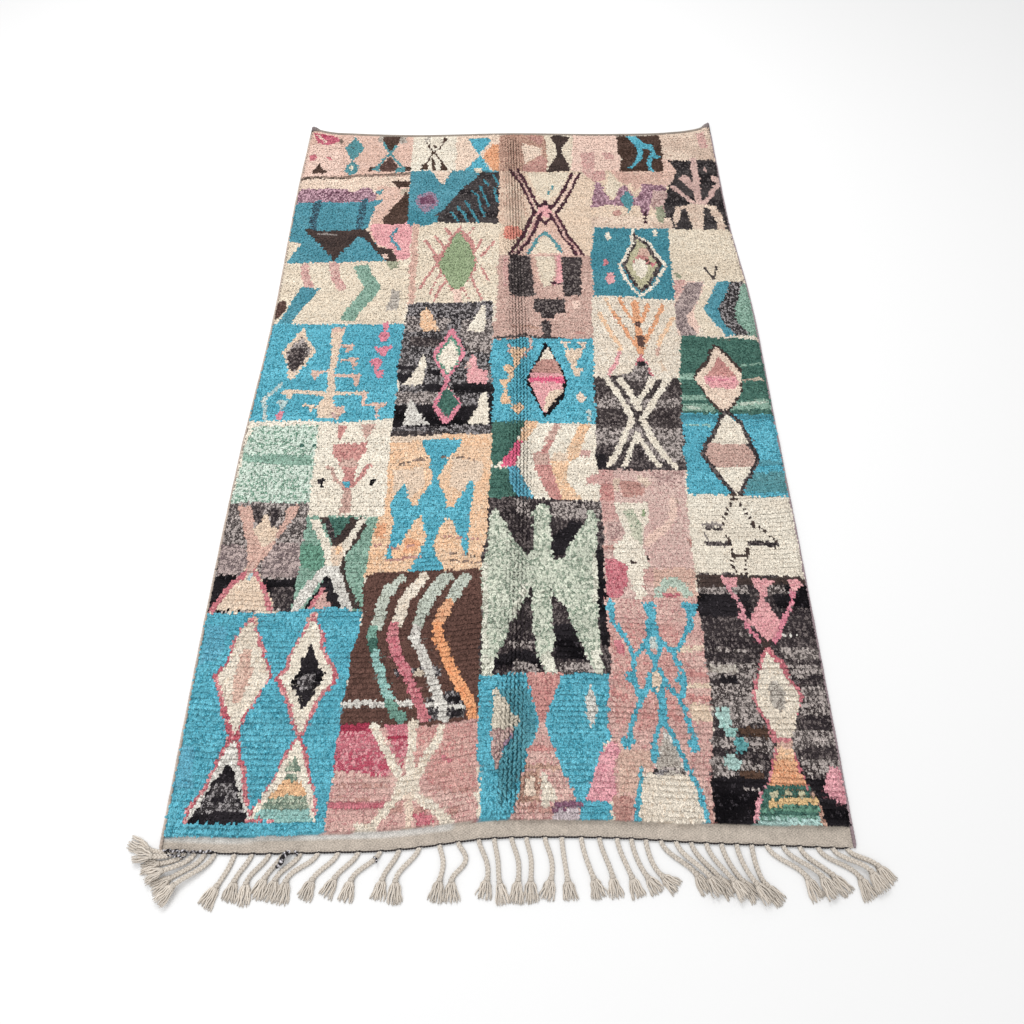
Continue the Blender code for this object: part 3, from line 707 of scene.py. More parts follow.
UPPER = (
    Compartment("Left: a purple stripe, a blue field with a dark wedge, chevrons on cream", (-200, 370), """
MAUVE_FLECK 0 146 0 167 50 166 60 162 68 168 75 168 80 160 80 148
TEAL 86 165 84 159 80 160 79 165
TURQUOISE_FADED 0 148 45 148 75 149 87 154 85 149 81 144 78 122 75 112 90 90 95 75 15 72 12 75 22 94 10 102
0 105
IVORY 0 105 15 98 21 93 12 72 0 70
INK_FLECK/25 30 149 29 130 29 113
INK_FLECK/25 71 150 70 130 69 114
BLACK_BROWN 24 115 30 112 60 112 75 114 80 108 84 98 89 92 98 89 103 82 105 75 97 75 91 80 75 103 69 104
52 74 49 81 24 111
GREY_STREAK/9 34 108 51 107
BLUSH 96 78 92 79 92 83 95 84 97 81
PINK 112 135 116 120 116 76 106 76 102 86 88 95 82 106 77 120 108 120
DARK_BROWN 106 162 110 158 110 124 106 120 89 120 88 126 95 139 101 149
TURQUOISE_FADED/11 102 114 97 105 99 98 106 88
IVORY 0 5 0 72 50 71 95 75 116 75 116 5
ROSE_PALE/30 29 68 31 55 36 45
ROSE_PALE/30 54 70 56 55 62 44
TURQUOISE_FADED 16 4 29 44 45 43 32 20 26 4
BROWN_ROSE 0 10 0 28 19 28 21 22 16 10
SAGE 65 8 68 19 81 44 68 69 82 70 85 58 94 44 88 29 80 18 77 8
MOSS_FLECK 96 75 106 75 107 66 100 65
GREY_FLECK 100 18 104 40 110 40 110 19
"""),
    Compartment("Second: cream with a green diamond, and the blue above its dark foot", (-90, 390), """
IVORY 5 6 5 100 30 102 82 101 80 60 79 6
TURQUOISE_DEEP 0 120 27 110 27 104 18 98 4 98 0 102
PEACH_PINK/22 8 99 10 6
SALMON_BROWN/13 7 85 8 30
DUSTY_ROSE 46 98 49 88 56 76 62 56 60 42 52 27 48 19 42 19 37 32 28 48 29 60
DUSTY_ROSE/10 49 89 56 80 60 66
DUSTY_ROSE/9 34 94 41 84
DUSTY_ROSE/9 26 84 34 70
DUSTY_ROSE/10 17 78 27 62 29 50 16 24
DUSTY_ROSE/9 31 46 25 60
DUSTY_ROSE/7 58 95 52 84
DUSTY_ROSE/8 66 82 61 68
DUSTY_ROSE/9 76 78 66 60
DUSTY_ROSE/7 64 50 72 32
DUSTY_ROSE/8 56 39 66 11
DUSTY_ROSE/8 38 34 27 10
DUSTY_ROSE/7 32 38 24 18
BLUSH/24 46 19 47 8
DUSTY_ROSE/7/20 51 22 55 11
LEAF 46 91 50 81 56 71 60 58 59 46 54 32 48 22 42 22 30 51 34 65
"""),
    Compartment("Over the fold: the foot of the crossing bands, dark blocks on dusty pink", (-20, 350), """
PEACH_CREAM 10 100 12 150 90 150 90 100
STREAKED_CREAM 31 165 28 140 12 140 12 165
CORAL_GLOW 14 138 28 136 30 126 23 118 15 122
SALMON 78 102 23 102 35 125 42 150 58 150 64 125
MAROON/13 47 154 36 121 26 101
MAROON/13 41 158 30 124 20 102
ROSE_PALE/9 44 155 34 122 28 110 23 102
MAROON/10 45 151 50 140 56 151
MAROON/13 55 154 66 122 77 101
MAROON/13 60 155 70 124 82 101
ROSE_PALE/9 58 154 68 122 80 101
IVORY 62 104 38 104 42 118 50 128 55 121
TEAL/12 36 105 40 116 45 126 50 130 55 122 63 106
DUSTY_PINK 88 102 86 5 8 5 10 102
ROSE_PALE/16 16 98 16 65
IVORY 41 100 57 100 58 85 54 67 46 66 43 80
PEACH_PINK/12 40 101 40 80 44 70
PINK 62 102 63 70 55 66 59 80 58 102
MAROON/10 54 69 61 68
WORN_CHARCOAL 19 101 37 101 39 54 30 52 20 54 18 78
WORN_CHARCOAL 80 100 76 55 63 54 63 100
WORN_CHARCOAL 63 51 63 37 55 36 54 30 44 30 44 36 38 37 38 51
BLUSH 69 48 75 48 75 40 70 40
"""),
    Compartment("Right of the fold: blue with nested diamonds", (60, 320), """
BLUSH_FLECK 10 164 10 180 58 180 80 178 80 162
MAROON/10 59 185 57 172
MOSS_FLECK 75 180 72 170 69 172 68 180
TURQUOISE_DEEP 76 164 74 130 72 81 50 81 6 84 8 110 7 130 10 148 12 165
MILK 23 160 25 158 25 152 23 150 21 154 21 158
MILK 63 153 62 162 66 162 66 155
ROSE 17 128 20 128 21 124 20 120 17 120
PINK 19 111 24 111 26 104 24 98 19 98 17 104
LEAF_YELLOW 46 154 34 119 41 97 46 90 53 97 65 120 56 144
PEACH_PINK 49 141 56 141 58 131 46 131
DUSTY_ROSE 41 118 43 127 48 133 56 131 57 122
MILK 41 118 44 126 48 129 52 126 55 118 52 109 48 104 44 108
ROSE 57 124 60 123 60 118 57 119
BROWN_ROSE/9 54 128 56 122
WORN_CHARCOAL/13 46 157 44 144 39 133 34 119 37 108 41 98 46 90 53 97 59 108 64 120 60 133 56 144 51 150
47 153
MILK/10 45 163 42 144 35 128 30 120 33 107 39 92 44 84 51 89 59 99 68 118 63 133 59 143 54 150 48 155
"""),
    Compartment("Far right: black feet, plain cream with a small V, and chevrons", (120, 360), """
BLUSH_FLECK 22 122 21 152 40 156 60 154 66 140 64 122
FADED_BLACK 15 138 23 140 26 154 18 156
FADED_BLACK 21 122 28 138 30 150 34 150 38 122
FADED_BLACK 50 152 54 150 59 132 59 122 46 122 48 132
FADED_BLACK 80 155 80 120 64 120 66 138 61 150
IVORY 80 123 80 61 14 61 14 90 16 123
WORN_CHARCOAL/8 41 78 47 64 52 78
MOSS_FLECK/14 17 70 18 66
BLUSH 6 2 12 40 14 62 45 61 35 40 25 2
ROSE_PALE 12 40 14 62 22 62 20 50
MAUVE_GREY 38 61 26 31 20 22 20 14 25 2 12 2 9 15 12 34 24 60
IVORY 48 60 36 30 38 18 45 2 31 2 26 15 26 28 39 61
TURQUOISE_FADED 60 61 48 30 50 15 56 2 48 2 40 16 35 30 49 61
CHARCOAL_LIGHT 70 61 58 30 59 16 66 2 56 2 48 15 46 30 60 61
SAGE 80 61 80 2 66 2 59 16 58 30 70 61
"""),
)


MIDDLE = (
    Compartment("Left: a tree of triangles on blue, a bordered diamond and a pink chain", (-200, 270), """
TURQUOISE 0 104 117 104 114 65 115 35 115 12 100 10 75 9 0 11
PEACH_CREAM 34 48 28 68 24 74 26 80 36 98 38 100 41 91 46 81 50 75 46 68 38 49
HEATHER 38 91 46 75 39 59 36 55 32 58 28 69 27 75 30 81
WORN_CHARCOAL 31 80 40 80 42 70 38 58 34 56 29 68
PEACH_CREAM 70 101 68 80 67 55 69 30 74 12 58 12 58 24 62 30 62 68 59 100
PEACH_PINK 70 101 69 96 60 95 59 100
PEACH_PINK/8 68 82 75 82
PEACH_PINK 70 84 79 84 74 73
PEACH_PINK/8 68 67 78 67
PEACH_PINK 76 70 84 70 81 58
PEACH_PINK/14 68 52 85 52
PEACH_PINK 88 54 85 42 83 42 81 54
PEACH_PINK/8 50 56 62 55
PEACH_PINK 48 55 57 56 53 46
PEACH_CREAM/15 32 36 62 35
PEACH_CREAM 31 38 39 38 37 31 35 28
PEACH_CREAM/13 69 35 92 35
PEACH_PINK 94 36 92 28 92 24 89 24 89 29 88 36
PEACH_PINK/10 90 24 100 24
PEACH_PINK 99 26 109 26 102 18
BLUSH_GREY/9 102 18 103 12
PEACH_CREAM/9 48 23 58 22
PEACH_CREAM 50 24 56 22 53 16
PEACH_PINK 68 23 77 23 78 18 74 14
MAUVE_PALE 68 18 71 17 74 13 70 12
CANDY 104 106 103 98 100 98 98 106
CANDY 101 85 98 90 98 96 100 97 107 94 103 87
CANDY 108 82 106 76 102 70 94 80
CANDY 102 47 96 60 92 66 95 69 102 68 100 58 106 58
MIST/14 28 45 18 29 21 12
MIST 28 28 36 28 32 18
CANDY 34 18 32 11 29 12 29 18
"""),
    Compartment("The cream strip, the mint mottle and the pink hourglass under it", (-200, 200), """
MILK 0 10 0 81 75 79 100 80 115 82 114 65 114 0
MINT_MOTTLE 0 11 0 48 11 52 15 76 62 75 62 11
SPRUCE 59 57 63 60 63 56
SPRUCE 53 57 50 57 50 60 53 60
DUSTY_ROSE 78 62 74 76 82 76
DUSTY_PINK 96 61 92 76 103 76
DUSTY_ROSE 74 60 96 60 98 55 96 48 91 39 80 39
"""),
    Compartment("Second: pepper and salt with two diamonds in a chain and tall triangles", (-90, 260), """
CHARCOAL_LIGHT 76 139 76 98 74 75 76 55 76 10 4 6 6 52 4 75 8 134 22 138 40 136
HEATHER 76 120 76 84 56 84 50 104 52 118
HEATHER 8 122 42 120 38 106 7 106
HEATHER 4 46 42 46 40 35 5 35
WORN_CHARCOAL 12 101 39 98 38 92 30 90 12 90
BLACK 3 73 15 71 17 68 4 68
BLACK 16 64 12 56 5 56 4 65
BLACK 26 68 37 67 38 62 26 63
BLACK 24 54 40 53 41 47 24 47
BLACK 76 47 60 45 48 46 45 55 75 55
BLACK 4 14 5 34 31 35 70 33 76 50 76 18
WORN_CHARCOAL 4 6 4 10 40 11 40 8
PEACH 18 124 22 132 27 124 34 107 20 106
MILK 55 106 61 121 67 134 70 134 70 120 69 106
CANDY 44 110 49 98 55 82 45 61 43 54 47 45 51 39 53 34 45 18 40 18 32 34 40 54 40 60 30 80 32 88 38 96
41 106
GREEN 44 102 50 90 52 82 48 72 42 62 32 80
MILK 44 98 51 81 43 63 34 80
PALE_BLUSH 43 52 50 36 44 42
SPRUCE 42 52 47 44 51 36 43 22 35 34 38 43
PINK 72 54 57 55 58 76 60 85 63 78 64 68 72 66
BLUSH_GREY 59 77 59 69 56 69 56 74
MILK 23 84 25 72 24 53 7 53 14 60 18 69
FROST 16 41 24 25 30 17 22 16 20 15 11 16
MILK 70 48 73 38 74 28 74 18 58 18 65 33
"""),
    Compartment("Second, under it: peach with a turquoise cup", (-100, 160), """
PEACH 5 1 12 50 14 106 86 110 84 1
"""),
    Compartment("Third: pale pink under a dark figure, then a banded diamond on blue", (-20, 270), """
DUSTY_PINK 84 106 83 88 42 89 6 88 6 106
MAUVE_BROWN/8 22 101 40 100
ROSE_BROWN/9 70 95 76 94
WORN_CHARCOAL/10 8 90 30 91 60 89
WORN_CHARCOAL 43 108 51 108 51 88 44 88
TURQUOISE 82 8 6 10 6 45 4 65 6 88 42 89 83 88
PEACH 31 78 30 70 23 56 21 48 19 46 18 54 14 59 14 63 19 62 20 58 23 64 18 78
BLUSH_GREY/8 18 82 19 74
BLUSH_GREY/9 35 88 34 78 30 68
PEACH 11 48 19 48 16 39 19 32 20 26 12 26 12 32 14 39
PEACH 20 25 28 25 29 20 26 16 20 20
BLACK 47 85 60 56 62 45 59 32 54 24 48 16 44 15 34 38 31 48
CREAM 48 81 54 66 41 66
ROSE_BROWN 34 54 41 68 54 68 59 54
PINK 59 54 60 45 56 32 44 18 38 32 33 48 34 54
HOT_PINK 33 49 60 51 60 44 50 46 34 46
PEACH_CREAM 58 38 56 32 46 20 44 19 48 37
PALE_BLUSH 58 86 66 85 62 80
PALE_BLUSH 71 85 79 85 75 80
PALE_BLUSH/8 62 81 64 76
PALE_BLUSH/8 76 81 74 76
PEACH_CREAM 61 78 76 78 69 60 75 59 73 54 71 50 68 51
PALE_BLUSH 72 36 75 31 74 26 70 26 68 31
MIST/9 76 19 76 11
"""),
    Compartment("Third, under it: slanting bands from a green corner", (-20, 210), """
MILK 5 5 6 70 82 68 80 4
PEACH 24 48 30 70 40 70 36 60 31 52
SPRUCE 6 31 6 70 31 70 23 52 12 34
DUSTY_PINK 38 38 51 68 56 68 51 55 47 40
PEACH 58 39 68 68 78 68 73 58 69 41
"""),
    Compartment("Fourth: fans of orange strokes on cream, and their dark foot", (60, 310), """
CREAM 2 11 5 94 25 94 50 92 72 91 66 10
PEACH/13 10 75 14 63 23 42 23 36
PEACH/10 16 91 21 77
PINK/13 23 35 20 25 14 13
SALMON_ROSE/7 21 70 26 70
ORANGE/12 21 77 27 62 31 51 35 44
ORANGE/12 28 91 31 81 37 67
ORANGE 43 90 43 68 41 62 43 55 44 44 41 33 37 32 34 42 37 56 37 88
ORANGE/14 50 84 48 77 43 67
ORANGE/14 62 84 57 72 52 62 47 53 43 45
PEACH/14 68 70 63 60 57 51 53 42
PEACH_PINK/12 52 39 52 33
PEACH_CREAM/10 54 26 56 18
BROWN_ROSE 37 67 42 67 43 64 41 61 38 62
BROWN_ROSE 38 52 43 52 43 43 41 39 37 43
ROSE 30 11 33 21 39 34 42 28 48 11
HEATHER 46 10 22 8 30 14 36 24 43 24
BLACK 36 26 42 26 41 21 36 22
"""),
    Compartment("Fourth, under it: pepper and salt with nested pale strokes", (50, 230), """
WORN_CHARCOAL 10 8 12 91 20 91 32 92 40 88 60 88 76 90 72 9
HEATHER 75 70 74 62 40 61 12 62 12 71 35 70
HEATHER 73 44 72 28 10 27 11 44
HEATHER 32 92 42 94 58 92 58 88 52 86 38 86
MILK/18 22 90 28 76 36 58 38 51 32 40 26 26 16 14
MILK/19 32 88 42 64 56 88
MILK/20 42 66 43 61
MILK/18 67 88 45 51 49 38 55 25 66 12
MILK/18 32 19 40 38 48 19
"""),
    Compartment("Right: green with a pale-edged diamond, over blue with a dark-edged one", (120, 210), """
SPRUCE 80 76 4 76 5 95 12 152 50 149 80 148
SAGE 6 108 6 114 20 114 19 108
SAGE 24 88 5 89 6 94 22 93
SAGE 30 78 4 78 5 85 26 85
MINT 20 82 18 80 8 80 8 83
SAGE 39 80 41 86 71 90 71 81
MINT/7 42 84 70 87
SAGE/9 54 122 70 123
CREAM_FLECK/9 54 108 70 109
BLACK_BROWN 33 76 25 89 17 110 22 120 30 130 34 140 38 143 44 137 54 118 53 102 48 89 38 77
PALE_BLUSH 36 78 32 82 26 91 18 109 24 118 31 125 34 135 38 141 41 137 51 118 54 114 50 95
DUSTY_ROSE 26 111 32 118 38 131 49 111
PINK 25 111 49 111 50 106 47 100 28 100 24 106
CANDY/7 26 108 48 108
TURQUOISE 80 6 0 8 4 76 80 76
TURQUOISE_DEEP/18 4 73 80 73
AQUA/6 6 66 24 65
MILK 36 77 30 68 20 49 50 49 43 67
WORN_CHARCOAL/13 36 77 31 72 27 64 24 56 19 50 15 41
WORN_CHARCOAL/13 36 78 42 73 45 66 50 51 53 39
"""),
)


LOWER = (
    Compartment("Left: mint mottle over pepper and salt, a pale fork, a rose-edged triangle", (-200, 130), """
SAGE 11 120 60 120 60 111 35 112 12 115
MILK 0 122 12 122 10 100 10 90 0 90
HEATHER 0 2 0 81 62 81 63 4
MAUVE_GREY 35 26 10 26 8 50 25 48
MAUVE_GREY 36 50 62 50 62 26 40 26
CHARCOAL 32 64 24 68 25 79 34 78
CHARCOAL 42 62 39 66 38 76 45 76
SALMON_BROWN 14 79 24 78 28 62 32 52 40 52 48 66 48 78 55 80 56 74 44 51 35 32 29 32 28 44
PEACH_CREAM 36 47 30 56 27 62 32 65 34 74 37 72 39 64 45 62 43 52
BLACK 0 2 0 27 22 28 30 23 40 26 48 25 62 26 62 8 50 5
CHARCOAL 46 20 62 19 62 4 50 4
PEACH_CREAM 12 4 29 34 35 34 49 10 51 4
ROSE/14 30 31 22 22 16 12 12 4
ROSE/13 34 31 41 20 49 4
DUSTY_PINK/16 32 36 32 29
MIST 34 28 33 25 30 25 30 28
"""),
    Compartment("Then half a pink hourglass on cream, over green with a pale cross", (-140, 130), """
MILK 2 71 2 130 14 130 15 122 37 122 54 130 54 72 50 69
DUSTY_ROSE 14 130 37 130 38 124 32 115 32 109 27 106 20 109 18 116 14 121
DUSTY_PINK 32 117 32 110 20 110 20 117
DUSTY_ROSE 23 110 30 110 31 100 28 91 23 92
DUSTY_PINK/11 15 109 18 100 24 94
DUSTY_ROSE/11 41 112 36 102 30 94
DUSTY_PINK/6 11 110 16 107
TURQUOISE 24 98 28 98 27 92 24 94
DUSTY_PINK 30 91 30 72 24 72 24 91
BLACK 8 101 11 100 10 96 11 94 9 94 6 98
BLACK 45 94 41 96 43 100 46 99 44 97
SAGE 2 71 50 70 46 31 45 4 2 4
GREEN 25 28 2 35 2 50 25 50
BLACK_BROWN 10 4 16 12 24 39 22 50 12 70 42 69 43 62 38 50 31 42 32 30 40 15 44 5
SPRUCE 32 70 28 61 24 56 21 61 18 70
CHARCOAL 14 68 18 68 23 58 23 51 20 55
MILK 4 68 11 69 14 61 21 50 25 48 30 54 35 62 38 69 43 69 30 41 28 32 19 35 17 44
PEACH_CREAM 28 51 30 42 28 34 23 34 21 41 22 49
PEACH 24 50 28 49 28 44 24 42
FROST 2 4 4 12 6 18 10 24 19 35 28 33 36 16 40 4 33 4 21 28 17 22 8 4
BLACK 10 4 21 28 24 24 32 8 33 4
ROSE_PALE 12 4 20 19 27 5
ROSE/10 20 18 14 6
"""),
    Compartment("Second: peach with a turquoise figure of pointed leaves, and brown hairs", (-100, 150), """
PEACH 86 120 84 45 79 11 15 10 5 8 8 35 10 50 14 52 14 116
PEACH_CREAM 51 114 14 111 14 116 50 118
PEACH_CREAM 40 90 40 75 32 65 18 70 18 88
PEACH_CREAM 58 98 80 95 78 80 65 70 58 75
APRICOT 17 35 10 35 10 45 16 45
APRICOT 28 22 30 35 40 32 38 25
TURQUOISE 65 114 64 108 60 102 55 99 51 85 50 78 54 70 57 58 60 58 66 68 70 77 72 80 74 75 72 60 72 45
71 32 72 24 69 21 65 36 58 50 55 49 48 34 48 28 57 11 34 11 42 30 43 38 38 50 34 48 31 40 27 31 22 27 21 21
18 20 18 25 20 35 20 48 18 58 21 68 25 78 34 58 37 60 39 68 44 76 46 82 43 90 42 100 38 105 35 113
BROWN_FLECK/5 22 93 41 98
BROWN_FLECK/5 50 98 70 98 74 95
ROSE_BROWN/5 10 30 25 28 35 29
ROSE_BROWN/5 18 19 40 21
ROSE_BROWN/5 55 36 80 33
BROWN_FLECK/4 58 24 81 21
BROWN_FLECK/4 60 18 80 17
"""),
    Compartment("Third: bands from a green and blue corner, over a mottled figure on black", (-30, 110), """
MILK 90 150 90 104 15 106 16 150
PEACH 32 140 29 142 39 160
SPRUCE 35 155 27 140 19 132 16 130 16 155
HOT_PINK 38 151 36 142 31 131 22 131 24 136 34 152
SPRUCE 14 105 16 130 27 130 33 104
SKY 46 104 33 104 28 122 27 131 33 131 38 121 42 112
DUSTY_ROSE 64 104 56 104 46 128 44 140 52 145 57 152 60 152 56 142 56 132 60 120
DUSTY_PINK 56 141 55 132 46 132 44 141
PEACH 77 104 64 104 56 134 66 138 74 155 81 155 78 139 70 134 68 120
PEACH_CREAM 70 142 70 135 58 135 58 142
ROSE_PALE 90 126 90 116 81 116 82 121
ROSE_PALE 78 144 86 144 85 138 78 139
CHARCOAL 88 2 10 2 10 60 14 80 14 106 90 103 91 65
BLACK 78 85 64 62 56 62 56 75 70 88
HEATHER 56 102 90 102 90 91 78 88 58 89
HEATHER 30 104 42 103 42 90 35 91
BLACK 90 65 90 30 82 30 83 65
"""),
    Compartment("Fourth: a worn pink field with a pale figure", (50, 130), """
WORN_PINK 10 108 70 108 68 80 67 8 8 8 10 45
CHARCOAL 72 130 72 108 9 108 10 130
HEATHER 42 130 72 130 72 115 45 115
BLACK 9 109 10 121 16 121 16 110
MILK/18 28 130 23 121 18 113
MILK/16 36 128 32 119 28 111
MILK/16 45 128 48 119 52 112
MILK/18 53 128 58 119 64 110
MAUVE_PALE 48 106 69 106 68 96 50 96
ROSE_PALE 10 108 20 108 20 82 25 55 16 52 11 58
DUSTY_ROSE 20 96 19 84 10 84 11 96
BLUSH_FLECK 20 91 20 101 25 100 24 92
BLUSH_FLECK 37 104 44 102 46 97 42 94 38 97
ROSE_BROWN 25 99 36 99 41 91 38 87 25 87
MILK 42 82 41 68 36 57 38 34 34 22 34 8 28 8 27 22 23 32 16 41 18 50 25 56 21 68 19 82
MAUVE_PALE 12 65 21 68 26 59 23 54 13 55
MINT_SPECK 35 50 29 56 24 75 31 77 36 64
LEAF/5 38 76 38 70
ROSE_BROWN 18 45 10 46 10 49 18 48
CRIMSON_SOFT 8 8 10 25 10 40 18 39 25 34 24 24 16 8
ROSE_PALE 33 18 34 31 44 34 42 22
PEACH_PINK 40 32 67 32 67 8 40 8
BLUSH/20 59 84 58 73 53 64 45 58 39 52
BLACK_BROWN 27 38 30 38 30 36 27 36
BLACK_BROWN 38 42 39 42 39 39 38 39
BROWN_FLECK 61 82 62 84 62 82
ROSE_BROWN 66 54 69 54 69 49 67 49
MINT/26 42 15 48 22 52 23 58 19 60 14
ROSE_BROWN/4 35 16 42 16
ROSE_BROWN/4 33 12 43 12
ROSE/9 46 14 55 14
"""),
    Compartment("Right: the dark-edged diamond's foot, then cream with a thin black figure", (110, 150), """
TURQUOISE 90 110 90 66 45 68 10 68 12 110
SEA/16 60 94 90 93
TEAL 52 86 90 86 90 70 50 70
DUSTY_PINK 30 110 60 110 63 97 59 89 31 89 25 101
MILK 30 90 44 65 60 90
CHARCOAL/12 30 111 25 101 28 94 31 89 34 82 39 73 44 66
CHARCOAL/12 59 110 62 103 63 97 60 92 50 76 45 67
MILK 90 6 8 9 8 30 10 68 90 66
BLACK_BROWN/8/16 42 68 32 51 29 44
BLACK_BROWN/8/16 40 68 46 58 50 44
BLACK_BROWN/9/14 50 44 55 42 63 31 62 26
GREY_STREAK/10 18 45 29 45
CHARCOAL/10 19 42 28 42
CHARCOAL/14 18 31 32 31
BLACK_BROWN/7 32 36 32 30
GREY_STREAK/5 18 38 19 34
CHARCOAL/14 46 31 63 30
BLACK_BROWN/9 32 26 34 22 42 22 44 26
BLACK_BROWN/8/14 33 22 32 14 36 8
BLACK_BROWN/8/14 42 20 39 8
"""),
)


